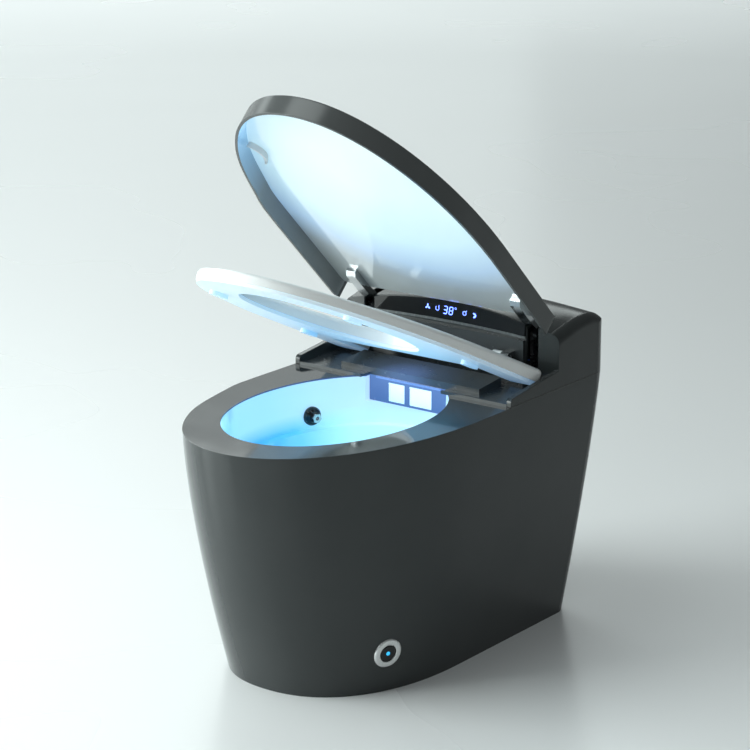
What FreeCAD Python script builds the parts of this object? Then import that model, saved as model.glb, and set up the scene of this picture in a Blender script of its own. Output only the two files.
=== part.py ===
"""Smart toilet: floor-standing ceramic pedestal with a powered lid, seat, spray wand and dryer.

Millimetres, +Z up, the front faces -Y. The origin is on the floor, midway along the length and width.
The lid and the seat are drawn closed and are turned about their hinges to the pose they rest in.
"""
import FreeCAD, Part
import math
import os
import re
import Sketcher

Vector = FreeCAD.Vector
X_AXIS = Vector(1, 0, 0)
Y_AXIS = Vector(0, 1, 0)
Z_AXIS = Vector(0, 0, 1)
SIDES = (("left", -1), ("right", 1))
WINDOWS = ("wand", "air")
BOW_SPANS = 12
SKIRT_SPANS = 5

doc = FreeCAD.newDocument("smart_toilet")
sheet = doc.addObject("Spreadsheet::Sheet", "Sizes")

SIZES = {
    # pedestal outline
    "body_length": 680, "body_width": 400, "rim_height": 380,
    "base_front_set": 95, "base_side_set": 33, "base_back_set": 45,
    "rim_power": 2.08, "base_power": 2.27, "taper_power": 1.4,
    "back_corner": 30, "glaze_wall": 14,
    # bowl
    "bowl_back_set": 216, "bowl_side_rim": 60, "bowl_front_rim": 64, "bowl_wall": 12,
    "glaze_lip": 2, "bowl_ledge_height": 306, "bowl_ledge_width": 14, "bowl_draft": 4, "bowl_waist": 245,
    "sump_height": 150, "sump_length": 100, "sump_width": 80, "sump_back_set": 325,
    # rear well, notch and service holes of the casting
    "well_side_set": 50, "well_length": 187, "well_back_wall": 28, "well_floor": 328,
    "notch_width": 150, "notch_floor": 340, "access_width": 140, "access_height": 160,
    # waste path
    "outlet_setback": 140, "trap_radius": 24, "trap_wall": 4, "trap_bend": 28, "trap_crest": 228,
    "trap_start": 166, "trap_slope": 42, "trap_set": 28, "socket_depth": 18,
    "outlet_bore": 22,
    "flange_radius": 52, "flange_thick": 12, "flange_step": 2, "collar_height": 30, "collar_wall": 5,
    "seal_inner": 34, "seal_outer": 46, "seal_height": 6,
    # rear housing
    "housing_wall": 4, "block_depth": 136, "block_edge_round": 16,
    "block_front_side": 82.5, "block_front_crown": 106,
    "block_top_side": 97, "block_top_crown": 107,
    "block_back_side": 69, "block_back_crown": 75,
    "arm_reach": 261, "arm_wall": 8, "arm_front_rise": 14, "arm_rise": 28,
    # recess between the arms
    "cover_thick": 3, "lip_rise": 4.5, "lip_width": 4, "upstand_side_set": 60, "upstand_rise": 66,
    "upstand_thick": 6.5, "plinth_side_set": 72, "plinth_depth": 58, "plinth_front_rise": 11,
    "plinth_back_rise": 16.5,
    # apron with its windows and flaps
    "apron_gap": 18, "apron_thick": 6, "apron_width": 148, "apron_foot": 2.5,
    "wand_window_width": 31, "air_window_width": 42, "wand_window_x": -24, "air_window_x": 20.5,
    "window_low": 342.5, "window_high": 372.5,
    "flap_thick": 3, "flap_gap": 0.6, "flap_pin_drop": 2.5, "flap_pin_radius": 1.5,
    "flap_pin_length": 2, "light_length": 120, "light_size": 3,
    # display
    "lens_side_set": 60, "lens_low_side": 72, "lens_low_mid": 75.5, "lens_high_side": 91,
    "lens_high_mid": 104.5, "lens_thick": 3.3, "trim_width": 4, "screen_width": 150,
    "screen_height": 12, "screen_rise": 83, "board_edge": 5, "board_thick": 1.6,
    # lid
    "lid_axis_back": 107, "lid_axis_rise": 70, "lid_open_angle": 44.45,
    "lid_rise": 42, "lid_skirt": 32, "lid_side_set": 1, "lid_front_set": 2, "lid_back_set": 160,
    "lid_corner": 10, "lid_edge_round": 3, "lid_rim": 4.5, "lid_skin": 2.5, "panel_thick": 2,
    "lid_arm_set": 48, "lid_arm_width": 18, "lid_arm_thick": 11, "lid_arm_reach": 50,
    "hub_radius": 9, "axle_radius": 4, "bracket_thick": 4, "cheek_thick": 5.5,
    "bracket_depth": 26, "cheek_top": 5.5,
    "drive_radius": 13, "drive_length": 54,
    "buffer_length": 52, "buffer_width": 10, "buffer_height": 9, "buffer_gap": 2,
    "buffer_front_set": 160,
    # seat
    "seat_axis_back": 155, "seat_axis_rise": 40, "seat_open_angle": 25.05,
    "seat_rise": 6, "seat_front_over": 6, "seat_side_set": 12, "seat_back_set": 149,
    "seat_front_thick": 19, "seat_back_thick": 25, "seat_base_thick": 5, "seat_base_inset": 2,
    "seat_edge_round": 7, "seat_corner": 14,
    "relief_reach": 11, "relief_gap": 6, "relief_height": 12.5,
    "hole_back_rim": 129, "hole_side_rim": 77, "hole_front_rim": 78, "seat_flat": 60,
    "seat_lug_set": 97, "seat_lug_width": 16, "seat_lug_radius": 8, "ear_width": 14,
    "bumper_radius": 7, "bumper_length": 22, "bumper_side_in": 52, "bumper_side_set": 141,
    "bumper_front_in": 80, "bumper_front_set": 131,
    # tray in the well
    "tray_floor": 4, "tray_wall": 3, "screw_head_radius": 5.5, "screw_radius": 3,
    "screw_length": 14, "screw_inset": 12,
    # spray wand
    "wand_height": 350.3, "wand_slope": 9, "wand_radius": 6.5, "wand_length": 112,
    "wand_setback": 62, "wand_tip_length": 14, "rail_width": 28, "rail_length": 112, "rail_roof": 3,
    "wand_motor_radius": 14, "wand_motor_length": 11.5,
    # warm air dryer and odour fan
    "duct_width": 36, "duct_height": 26, "duct_wall": 2.5,
    "blower_radius": 34, "blower_width": 36, "blower_set": 60, "blower_motor_radius": 16,
    "blower_motor_length": 20,
    "fan_size": 40, "fan_height": 15, "fan_hole": 17,
    # water and power
    "heater_depth": 56, "heater_height": 46, "heater_set": 50,
    "port_radius": 5, "port_length": 12, "board_depth": 62, "board_rise": 88, "post_radius": 3,
    "pump_radius": 18, "pump_length": 50, "pump_side_set": 31, "pump_set": 27, "pump_nose": 8,
    "valve_width": 34, "valve_depth": 30, "valve_height": 38, "inlet_side_set": 37, "inlet_set": 62,
    "inlet_radius": 10.5, "inlet_length": 34, "inlet_collar": 12, "inlet_flange": 14, "inlet_bore": 7,
    "inlet_flange_thick": 2,
    "flush_x": 74, "flush_set": 20, "flush_radius": 12, "flush_height": 54,
    "gland_x": -24, "gland_set": 16, "gland_radius": 7, "gland_flange": 10, "gland_length": 22,
    # foam nozzle on the bowl wall
    "foam_set": 106, "foam_height": 325, "foam_radius": 14.5, "foam_rise": 9, "foam_stem": 6, "foam_sink": 1,
    "foam_nut_radius": 7.5, "foam_nut_height": 8, "foam_bore": 3,
    # foot button on the flank
    "foot_front_set": 188.3, "foot_height": 61.9, "foot_flange": 22.5, "foot_barrel": 17,
    "foot_button": 13, "foot_depth": 17, "foot_sink": 1.5, "foot_proud": 2.5, "foot_stem": 5,
    "foot_light": 3,
    # clearances
    "fit_gap": 0.25, "run_gap": 0.05, "move_gap": 0.4,
}
for row, (alias, size) in enumerate(SIZES.items(), start=1):
    sheet.set("A%d" % row, alias)
    sheet.set("B%d" % row, str(size))
    sheet.setAlias("B%d" % row, alias)
doc.recompute()

# widths and places that follow from the driving sizes
LEFT_BAY = "(Sizes.well_width / 2 - Sizes.tray_wall - Sizes.rail_width / 2 + Sizes.wand_window_x)"
FOLLOWING = {
    "port_spread": "Sizes.heater_length * 0.3",
    "heater_length": LEFT_BAY + " * 0.6",
    "heater_x": "Sizes.wand_window_x - Sizes.rail_width / 2 - %s / 2" % LEFT_BAY,
    "board_length": LEFT_BAY + " * 0.77",
    "pump_x": "Sizes.well_width / 2 - Sizes.tray_wall - Sizes.pump_side_set",
    "inlet_x": "Sizes.well_width / 2 - Sizes.tray_wall - Sizes.inlet_side_set",
    "hole_width": "Sizes.seat_width - 2 * Sizes.hole_side_rim",
    "bowl_width": "Sizes.body_width - 2 * Sizes.bowl_side_rim",
    "well_width": "Sizes.body_width - 2 * Sizes.well_side_set",
    "lid_width": "Sizes.body_width - 2 * Sizes.lid_side_set",
    "seat_width": "Sizes.body_width - 2 * Sizes.seat_side_set",
    "upstand_width": "Sizes.body_width - 2 * Sizes.upstand_side_set",
    "plinth_width": "Sizes.body_width - 2 * Sizes.plinth_side_set",
    "lens_width": "Sizes.body_width - 2 * Sizes.lens_side_set",
    "lid_arm_x": "Sizes.body_width / 2 - Sizes.lid_arm_set",
    "seat_lug_x": "Sizes.body_width / 2 - Sizes.seat_lug_set",
    "bumper_side_x": "Sizes.body_width / 2 - Sizes.bumper_side_in",
    "bumper_front_x": "Sizes.body_width / 2 - Sizes.bumper_front_in",
}


def follow(text):
    """An expression with each following name written out in driving sizes."""
    for name, formula in FOLLOWING.items():
        text = re.sub(r"Sizes\.%s\b" % name, "(%s)" % formula, text)
    return text


def number(text):
    """The value of an expression over the sheet's cells."""
    return float(sheet.evalExpression(follow(text)))


def size(alias):
    """A dimension by its name, driving or following."""
    return number("Sizes." + alias)


# places that several sub-parts share, as expressions over the sheet
REAR = "(Sizes.body_length / 2)"
RIM = "Sizes.rim_height"
WELL_BACK = "(Sizes.body_length / 2 - Sizes.well_back_wall)"
WELL_FRONT = "(%s - Sizes.well_length)" % WELL_BACK
TRAY_TOP = "(Sizes.well_floor + Sizes.tray_floor)"
APRON_BACK = "(%s - Sizes.apron_gap)" % WELL_FRONT
APRON_FRONT = "(%s - Sizes.apron_thick)" % APRON_BACK
BLOCK_FRONT = "(%s - Sizes.block_depth)" % REAR
ARM_FRONT = "(%s - Sizes.arm_reach)" % REAR
COVER_TOP = "(Sizes.rim_height + Sizes.cover_thick)"
LID_AXIS_Y = "(%s - Sizes.lid_axis_back)" % REAR
LID_AXIS_Z = "(Sizes.rim_height + Sizes.lid_axis_rise)"
LID_LOW = "(Sizes.rim_height + Sizes.lid_rise)"
PANEL_TOP = "(%s + Sizes.lid_skirt - Sizes.lid_skin)" % LID_LOW
PANEL_LOW = "(%s - Sizes.panel_thick)" % PANEL_TOP
SEAT_AXIS_Y = "(%s - Sizes.seat_axis_back)" % REAR
SEAT_AXIS_Z = "(Sizes.rim_height + Sizes.seat_axis_rise)"
SEAT_LOW = "(Sizes.rim_height + Sizes.seat_rise)"
OUTLET_Y = "(%s - Sizes.outlet_setback)" % REAR
FLANGE_STEP = "(Sizes.flange_thick + Sizes.flange_step)"
PUMP_Y = "(%s + Sizes.pump_set)" % WELL_FRONT
BLOWER_Y = "(%s - Sizes.blower_set)" % WELL_BACK
HEATER_Y = "(%s - Sizes.heater_set)" % WELL_BACK
INLET_Y = "(%s - Sizes.inlet_set)" % WELL_BACK
FLUSH_Y = "(%s - Sizes.flush_set)" % WELL_BACK
GLAND_Y = "(%s - Sizes.gland_set)" % WELL_BACK
SEAT_BACK = "(%s - Sizes.seat_back_set)" % REAR
SEAT_FRONT = "(-Sizes.body_length / 2 - Sizes.seat_front_over)"
FLAP_PIN_Z = "(Sizes.window_high - Sizes.flap_pin_drop)"
FLAP_PIN_Y = "(%s + Sizes.apron_thick / 2)" % APRON_FRONT

FRONT = -size("body_length") / 2
HALF_WIDTH = size("body_width") / 2
BOWL_LENGTH = size("body_length") - size("bowl_front_rim") - size("bowl_back_set")
BOWL_Y = FRONT + size("bowl_front_rim") + BOWL_LENGTH / 2
SUMP_Y = -FRONT - size("sump_back_set")
FOAM_Y = BOWL_Y + BOWL_LENGTH / 2 - size("foam_set")


def bind(obj, **texts):
    """Binds an object's properties to expressions; a double underscore stands for a dot."""
    for name, text in texts.items():
        obj.setExpression(name.replace("__", "."), follow(text))
    return obj


def at(obj, x, y, z):
    return bind(obj, Placement__Base__x=x, Placement__Base__y=y, Placement__Base__z=z)


def box(name, spans, corner):
    """A block with its three lengths and its low corner given as expressions."""
    obj = doc.addObject("Part::Box", name)
    bind(obj, Length=spans[0], Width=spans[1], Height=spans[2])
    return at(obj, *corner)


def rod(name, radius, length, foot, direction=Z_AXIS):
    """A cylinder from a foot point along a direction."""
    obj = doc.addObject("Part::Cylinder", name)
    obj.Placement.Rotation = FreeCAD.Rotation(Z_AXIS, direction)
    bind(obj, Radius=radius, Height=length)
    return at(obj, *foot)


def join(name, *pieces):
    obj = doc.addObject("Part::MultiFuse", name)
    obj.Shapes = list(pieces)
    return obj


def cut(name, base, *tools):
    obj = doc.addObject("Part::Cut", name)
    obj.Base = base
    obj.Tool = tools[0] if len(tools) == 1 else join(name + "_tools", *tools)
    return obj


def feature(name, shape):
    """A sub-part whose free-form shape is worked out from the sheet here."""
    obj = doc.addObject("Part::Feature", name)
    obj.Shape = shape
    return obj


def sketch(body, plane, corners):
    """A closed polygon on one of the body's own planes; each corner is a pair of expressions."""
    profile = body.newObject("Sketcher::SketchObject", body.Name + "_profile")
    base = [item for item in body.Origin.OriginFeatures if item.Role == plane][0]
    profile.AttachmentSupport = [(base, "")]
    profile.MapMode = "FlatFace"
    points = [Vector(number(u), number(v), 0) for u, v in corners]
    last = len(points)
    for index in range(last):
        profile.addGeometry(Part.LineSegment(points[index], points[(index + 1) % last]))
    for index in range(last):
        profile.addConstraint(Sketcher.Constraint("Coincident", index, 2, (index + 1) % last, 1))
    for index, (u, v) in enumerate(corners):
        for kind, text in (("DistanceX", u), ("DistanceY", v)):
            limit = Sketcher.Constraint(kind, -1, 1, index, 1, number(text))
            profile.setExpression("Constraints[%d]" % profile.addConstraint(limit), follow(text))
    return profile


def turned(name, corners):
    """A turned piece: its half profile (radius, height) spun about Z."""
    body = doc.addObject("PartDesign::Body", name)
    spin = body.newObject("PartDesign::Revolution", name + "_turn")
    profile = sketch(body, "XZ_Plane", corners)
    spin.Profile = (profile, [])
    spin.ReferenceAxis = (profile, ["V_Axis"])
    spin.Angle = 360
    body.Tip = spin
    return body


def slab(name, plane, corners, length):
    """A piece of one even section: a polygon padded evenly to both sides of its plane."""
    body = doc.addObject("PartDesign::Body", name)
    pad = body.newObject("PartDesign::Pad", name + "_pad")
    pad.Profile = (sketch(body, plane, corners), [])
    pad.Midplane = True
    bind(pad, Length=length)
    body.Tip = pad
    return body


def turn_about(axis_y, axis_z, angle):
    """The placement that lifts a piece drawn closed about a hinge line along X."""
    hinge = Vector(0, number(axis_y), number(axis_z))
    return FreeCAD.Placement(Vector(0, 0, 0), FreeCAD.Rotation(X_AXIS, -angle), hinge)


def outline(front, half, back, corner, power, height, wide=0.0):
    """Plan wire: a superellipse bow in front, straight sides and rounded back corners."""
    bow = []
    for step in range(BOW_SPANS + 1):
        angle = math.pi * step / BOW_SPANS
        across = math.copysign(abs(math.cos(angle)) ** (2 / power), math.cos(angle))
        along = math.sin(angle) ** (2 / power) if 0 < step < BOW_SPANS else 0.0
        bow.append(Vector(half * across, wide - (wide - front) * along, height))
    curve = Part.BSplineCurve()
    curve.interpolate(Points=bow, InitialTangent=-Y_AXIS, FinalTangent=Y_AXIS)
    edges = [curve.toShape()]
    bend = corner * (1 - math.sqrt(0.5))
    left_low = Vector(-half, back - corner, height)
    left_back = Vector(-half + corner, back, height)
    right_back = Vector(half - corner, back, height)
    right_low = Vector(half, back - corner, height)
    edges.append(Part.makeLine(bow[-1], left_low))
    edges.append(Part.Arc(left_low, Vector(-half + bend, back - bend, height), left_back).toShape())
    edges.append(Part.makeLine(left_back, right_back))
    edges.append(Part.Arc(right_back, Vector(half - bend, back - bend, height), right_low).toShape())
    edges.append(Part.makeLine(right_low, bow[0]))
    return Part.Wire(edges)


def prism(wire, height):
    return Part.Face(wire).extrude(Vector(0, 0, height))


def block(low, high):
    """A plain solid between two corners."""
    span = high - low
    return Part.makeBox(span.x, span.y, span.z, low)


def oval(half_x, half_y, y, height):
    """A level ellipse about the middle plane."""
    centre = Vector(0, y, height)
    ends = sorted((Y_AXIS * half_y, X_AXIS * half_x), key=lambda end: -end.Length)
    return Part.Wire([Part.Ellipse(centre + ends[0], centre + ends[1], centre).toShape()])


def lean(height):
    """How far down the skirt a level is: 0 at the rim, 1 at the floor."""
    return max(0.0, 1 - height / size("rim_height"))


def skirt_wire(height, inset):
    down = lean(height)
    bulge = down ** size("taper_power")
    power = size("rim_power") + (size("base_power") - size("rim_power")) * bulge
    return outline(FRONT + size("base_front_set") * bulge + inset,
                   HALF_WIDTH - size("base_side_set") * bulge - inset,
                   -FRONT - size("base_back_set") * down - inset,
                   size("back_corner") - inset, power, height)


def skirt(low, high, inset):
    """The tapering solid inside the pedestal's outline, set in by a wall thickness."""
    levels = [low + (high - low) * step / SKIRT_SPANS for step in range(SKIRT_SPANS + 1)]
    return Part.makeLoft([skirt_wire(level, inset) for level in levels], True, False)


def bow_half(half, reach, power, y):
    """Half-width of a superellipse bow at a place along it."""
    return half * (1 - abs(y / reach) ** power) ** (1 / power)


def flank(y, height):
    """Half-width of the pedestal at a place on its bowed front part."""
    bulge = lean(height) ** size("taper_power")
    power = size("rim_power") + (size("base_power") - size("rim_power")) * bulge
    reach = (FRONT + size("base_front_set") * bulge)
    half = HALF_WIDTH - size("base_side_set") * bulge
    return bow_half(half, reach, power, y)


def foot_place():
    """Placement of the foot button: on the flank, with its own Z pointing out of it."""
    y, height, step = FRONT + size("foot_front_set"), size("foot_height"), 0.5
    slope_y = (flank(y + step, height) - flank(y - step, height)) / (2 * step)
    slope_z = (flank(y, height + step) - flank(y, height - step)) / (2 * step)
    normal = Vector(1, -slope_y, -slope_z)
    return FreeCAD.Placement(Vector(flank(y, height), y, height), FreeCAD.Rotation(Z_AXIS, normal))


def bowl_half(height):
    """Half-width and half-length of the bowl's upright upper wall at a level."""
    drop = (size("rim_height") - height) / (size("rim_height") - size("bowl_ledge_height"))
    return (size("bowl_width") / 2 - size("bowl_draft") * drop,
            BOWL_LENGTH / 2 - size("bowl_draft") * drop)


def foam_place():
    """Placement of the foam nozzle: on the bowl's far wall, with its own Z pointing inwards."""
    half_x, half_y = bowl_half(size("foam_height"))
    along = (FOAM_Y - BOWL_Y) / half_y
    x = -half_x * math.sqrt(1 - along ** 2)
    inward = Vector(-x / half_x ** 2, -along / half_y, 0)
    spot = Vector(x, FOAM_Y, size("foam_height"))
    return FreeCAD.Placement(spot, FreeCAD.Rotation(Z_AXIS, inward))


def bowl(extra):
    """The bowl's hollow, or its outer body when grown by the wall thickness."""
    rim, ledge = size("rim_height"), size("bowl_ledge_height")
    low_x, low_y = bowl_half(ledge)
    upper = Part.makeLoft([oval(size("bowl_width") / 2 + extra, BOWL_LENGTH / 2 + extra, BOWL_Y,
                                rim + 1),
                           oval(low_x + extra, low_y + extra, BOWL_Y, ledge - extra)], True, True)
    floor_x = low_x - size("bowl_ledge_width")
    floor_y = low_y - size("bowl_ledge_width")
    sump_x, sump_y = size("sump_width") / 2, size("sump_length") / 2
    rings = []
    for share in (0.0, 0.4, 0.75, 1.0):
        narrow = share ** 1.2
        rings.append(oval(floor_x + (sump_x - floor_x) * narrow + extra,
                          floor_y + (sump_y - floor_y) * narrow + extra,
                          BOWL_Y + (SUMP_Y - BOWL_Y) * narrow,
                          ledge + 1 + (size("sump_height") - extra - ledge - 1) * share))
    return upper.fuse(Part.makeLoft(rings, True, False))


def trap_path():
    """The waste path from the sump's rear wall up over the crest and down to the floor flange."""
    slope = math.radians(size("trap_slope"))
    rise = size("trap_crest") - size("trap_start")
    start = Vector(0, SUMP_Y + size("sump_length") / 2 + size("trap_set"), size("trap_start"))
    crest = start + Vector(0, rise / math.tan(slope), rise)
    turn = Vector(0, number(OUTLET_Y), size("trap_crest"))
    end = Vector(0, number(OUTLET_Y), number(FLANGE_STEP))
    return [start, crest, turn, end]


def bent_wire(points, radius):
    """Straight runs joined by tangent arcs of one radius."""
    edges = []
    begin = points[0]
    for before, corner, after in zip(points, points[1:], points[2:]):
        into = (corner - before).normalize()
        away = (after - corner).normalize()
        half_turn = into.getAngle(away) / 2
        reach = radius * math.tan(half_turn)
        first, last = corner - into * reach, corner + away * reach
        middle = corner + (away - into).normalize() * (radius / math.cos(half_turn) - radius)
        edges.append(Part.makeLine(begin, first))
        edges.append(Part.Arc(first, middle, last).toShape())
        begin = last
    edges.append(Part.makeLine(begin, points[-1]))
    return Part.Wire(edges)


def trap_tube(radius):
    points = trap_path()
    circle = Part.Wire([Part.Circle(points[0], points[1] - points[0], radius).toShape()])
    return bent_wire(points, size("trap_bend")).makePipeShell([circle], True, False)


def trap_line(radius, back, ahead):
    """A cylinder along the waste path's first run, from behind its start to ahead of it."""
    start, crest = trap_path()[:2]
    run = (crest - start).normalize()
    return Part.makeCylinder(radius, back + ahead, start - run * back, run)


def trap_boss(gap):
    """Boss behind the sump that the trapway is socketed in."""
    depth = size("socket_depth")
    return trap_line(size("trap_radius") + size("bowl_wall") + gap, 1.6 * depth + gap, depth + gap)


def trap_socket():
    bore = trap_line(size("trap_radius") - size("trap_wall"), 1.3 * size("socket_depth"), 1)
    return bore.fuse(trap_line(size("trap_radius") + size("fit_gap"), 0, 2 * size("socket_depth")))


def well_and_notch():
    """The well for the electronics and the notch that opens it towards the bowl."""
    rim, front, half_notch = size("rim_height"), number(WELL_FRONT), size("notch_width") / 2
    half_well = size("well_width") / 2
    well = block(Vector(-half_well, front, size("well_floor")), Vector(half_well, number(WELL_BACK), rim + 1))
    notch = block(Vector(-half_notch, BOWL_Y, size("notch_floor")), Vector(half_notch, front + 1, rim + 1))
    return well.fuse(notch)


def well_and_notch_shell():
    """The ceramic around the well and the notch."""
    rim, wall, front = size("rim_height"), size("bowl_wall"), number(WELL_FRONT)
    half_well, half_notch = size("well_width") / 2 + wall, size("notch_width") / 2 + wall
    well = block(Vector(-half_well, front - wall, size("well_floor") - wall),
                 Vector(half_well, number(WELL_BACK) + wall, rim))
    notch = block(Vector(-half_notch, BOWL_Y, size("notch_floor") - wall), Vector(half_notch, front, rim))
    return well.fuse(notch)


def bowl_body(gap):
    """The bowl's outer body with the trapway's boss, up to the lip of the rim, grown by a gap."""
    top = size("rim_height") - size("glaze_lip") + gap - size("fit_gap")
    below = block(Vector(-HALF_WIDTH, FRONT, 0), Vector(HALF_WIDTH, -FRONT, top))
    return bowl(size("bowl_wall") + gap).common(below).fuse(trap_boss(gap))


def rear_arch():
    """The access arch in the skirt's back."""
    half, depth = size("access_width") / 2, 3 * size("base_back_set")
    spring = size("access_height") - half
    upright = block(Vector(-half, -FRONT - depth, -1), Vector(half, -FRONT, spring))
    return upright.fuse(Part.makeCylinder(half, depth, Vector(0, -FRONT - depth, spring), Y_AXIS))


def placed_cylinders(place, wall, sizes):
    """Counterbore and through hole along the Z of a placement."""
    tools = []
    for radius, sink in sizes:
        tool = Part.makeCylinder(radius + size("fit_gap"), sink + wall, Vector(0, 0, -sink))
        tool.Placement = place.multiply(tool.Placement)
        tools.append(tool)
    return tools


def casting():
    """The dark glazed casting around the bowl as one solid."""
    rim, wall = size("rim_height"), size("glaze_wall")
    hollow = skirt(-1, rim - wall, wall).cut(well_and_notch_shell())
    solid = skirt(0, rim, 0).cut(hollow).cut(bowl_body(size("fit_gap")))
    solid = solid.cut(bowl(0).fuse([well_and_notch(), rear_arch()]))
    for x, y, radius in service_holes():
        foot = Vector(x, y, size("well_floor") - 2 * wall)
        solid = solid.cut(Part.makeCylinder(radius, 3 * wall, foot))
    return solid.cut(placed_cylinders(foot_place(), wall, [(size("foot_flange"), size("foot_sink")),
                                                           (size("foot_barrel"), 2 * wall)]))


def above(height):
    """The space over a level."""
    return block(Vector(2 * FRONT, 2 * FRONT, height), Vector(-2 * FRONT, -2 * FRONT, 2 * size("rim_height")))


def casting_parts():
    """The casting in three: the flat rim, the well under it and the skirt that carries both."""
    solid, deck = casting(), above(size("rim_height") - size("glaze_wall"))
    well = well_and_notch_shell().cut(deck)
    return [feature("ceramic_skirt", solid.cut([deck, well])), feature("ceramic_rim", solid.common(deck)),
            feature("ceramic_well", solid.common(well))]


def bowl_parts():
    """The white glazed bowl in three: its upright wall, the basin, and the sump with the trap's socket."""
    wall = size("glaze_wall")
    foam = placed_cylinders(foam_place(), wall, [(size("foam_radius"), size("foam_sink")),
                                                 (size("foam_stem"), 2 * wall)])
    solid = bowl_body(0).cut(bowl(0).fuse([well_and_notch(), trap_socket()])).cut(foam)
    upper, waist = above(size("bowl_ledge_height")), above(size("bowl_waist"))
    return [feature("bowl_wall", solid.common(upper)), feature("bowl_basin", solid.cut(upper).common(waist)),
            feature("bowl_sump", solid.cut(waist))]


def service_holes():
    """Holes through the well's floor: water inlet, power gland and the tray's four screws."""
    gap = size("fit_gap")
    holes = [(size("inlet_x"), number(INLET_Y), size("inlet_collar") + gap),
             (size("gland_x"), number(GLAND_Y), size("gland_radius") + gap)]
    for x, y in screw_spots():
        holes.append((x, y, size("screw_radius") + gap))
    return holes


def screw_spots():
    reach = size("well_width") / 2 - size("screw_inset")
    ends = (number(WELL_FRONT) + size("screw_inset"), number(WELL_BACK) - size("screw_inset"))
    return [(side * reach, y) for side in (-1, 1) for y in ends]


def trapway():
    bore = size("trap_radius") - size("trap_wall")
    return feature("trapway", trap_tube(size("trap_radius")).cut(trap_tube(bore)))


def outlet_flange():
    socket = "(Sizes.trap_radius + Sizes.fit_gap)"
    neck = "(%s + Sizes.collar_wall)" % socket
    groove = "(Sizes.seal_height + Sizes.fit_gap)"
    flange = turned("outlet_flange", [
        ("Sizes.outlet_bore", "0"), ("Sizes.seal_inner - Sizes.fit_gap",
                                     "0"), ("Sizes.seal_inner - Sizes.fit_gap", groove),
        ("Sizes.seal_outer + Sizes.fit_gap", groove), ("Sizes.seal_outer + Sizes.fit_gap", "0"),
        ("Sizes.flange_radius", "0"), ("Sizes.flange_radius", "Sizes.flange_thick"),
        (neck, "Sizes.flange_thick"), (neck, "Sizes.collar_height"), (socket, "Sizes.collar_height"),
        (socket, FLANGE_STEP), ("Sizes.outlet_bore", FLANGE_STEP)])
    return at(flange, "0", OUTLET_Y, "0")


def outlet_seal():
    seal = turned("outlet_seal", [("Sizes.seal_inner", "0"), ("Sizes.seal_outer", "0"),
                                  ("Sizes.seal_outer", "Sizes.seal_height"),
                                  ("Sizes.seal_inner", "Sizes.seal_height")])
    return at(seal, "0", OUTLET_Y, "0")


def block_section(y, side, crown, inset, low):
    """Cross-section of the rear block at a place along Y: upright sides and a crowned top."""
    rim = size("rim_height")
    half = HALF_WIDTH - inset
    curl = size("block_edge_round") - inset
    side_z, crown_z = rim + side - inset, rim + crown - inset
    bend = curl * (1 - math.sqrt(0.5))
    left_low, right_low = Vector(-half, y, low), Vector(half, y, low)
    left_side, right_side = Vector(-half, y, side_z - curl), Vector(half, y, side_z - curl)
    left_top, right_top = Vector(-half + curl, y, side_z), Vector(half - curl, y, side_z)
    return Part.Wire([
        Part.makeLine(right_low, right_side),
        Part.Arc(right_side, Vector(half - bend, y, side_z - bend), right_top).toShape(),
        Part.Arc(right_top, Vector(0, y, crown_z), left_top).toShape(),
        Part.Arc(left_top, Vector(-half + bend, y, side_z - bend), left_side).toShape(),
        Part.makeLine(left_side, left_low),
        Part.makeLine(left_low, right_low)])


def back_corners(inset, low):
    """What is cut off the rear block's two back corners to round them in plan."""
    half, back, height = HALF_WIDTH - inset, -FRONT - inset, size("rim_height")
    radius = size("back_corner") - inset
    tools = []
    for name, side in SIDES:
        centre = Vector(side * (half - radius), back - radius, low - 1)
        corner = centre - X_AXIS * (2 * radius if side < 0 else 0)
        square = Part.makeBox(2 * radius, 2 * radius, height, corner)
        tools.append(square.cut(Part.makeCylinder(radius, height, centre)))
    return tools


def rear_block(inset, low):
    """The rear block as one solid, set in by a wall; its top rises, then rounds down at the back."""
    front, back = number(BLOCK_FRONT) + inset, -FRONT - inset
    sections = []
    for share, side, crown in ((0.0, size("block_front_side"), size("block_front_crown")),
                               (0.3, None, None),
                               (0.64, size("block_top_side"), size("block_top_crown")),
                               (0.9, None, None),
                               (1.0, size("block_back_side"), size("block_back_crown"))):
        if side is None:
            near = "front" if share < 0.5 else "back"
            side = 0.36 * size("block_%s_side" % near) + 0.64 * size("block_top_side")
            crown = 0.36 * size("block_%s_crown" % near) + 0.64 * size("block_top_crown")
        sections.append(block_section(front + (back - front) * share, side, crown, inset, low))
    return Part.makeLoft(sections, True, False).cut(back_corners(inset, low))


def housing_arm(side):
    """One arm of the housing: a wall beside the seat, low and rounded at its front end."""
    rim = size("rim_height")
    front, back = number(ARM_FRONT), number(BLOCK_FRONT) + size("housing_wall")
    low, high = size("arm_front_rise"), size("arm_rise")
    inner = side * (HALF_WIDTH - size("arm_wall"))
    nose = low / 2
    bend = nose * (1 - math.sqrt(0.5))
    start, top = Vector(inner, front, rim + nose), Vector(inner, front + nose, rim + low)
    end = Vector(inner, back, rim + high)
    foot, heel = Vector(inner, back, rim), Vector(inner, front, rim)
    curve = Part.Arc(start, Vector(inner, front + bend, rim + low - bend), top).toShape()
    runs = [Part.makeLine(a, b) for a, b in ((top, end), (end, foot), (foot, heel), (heel, start))]
    return Part.Face(Part.Wire([curve] + runs)).extrude(Vector(side * size("arm_wall"), 0, 0))


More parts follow.
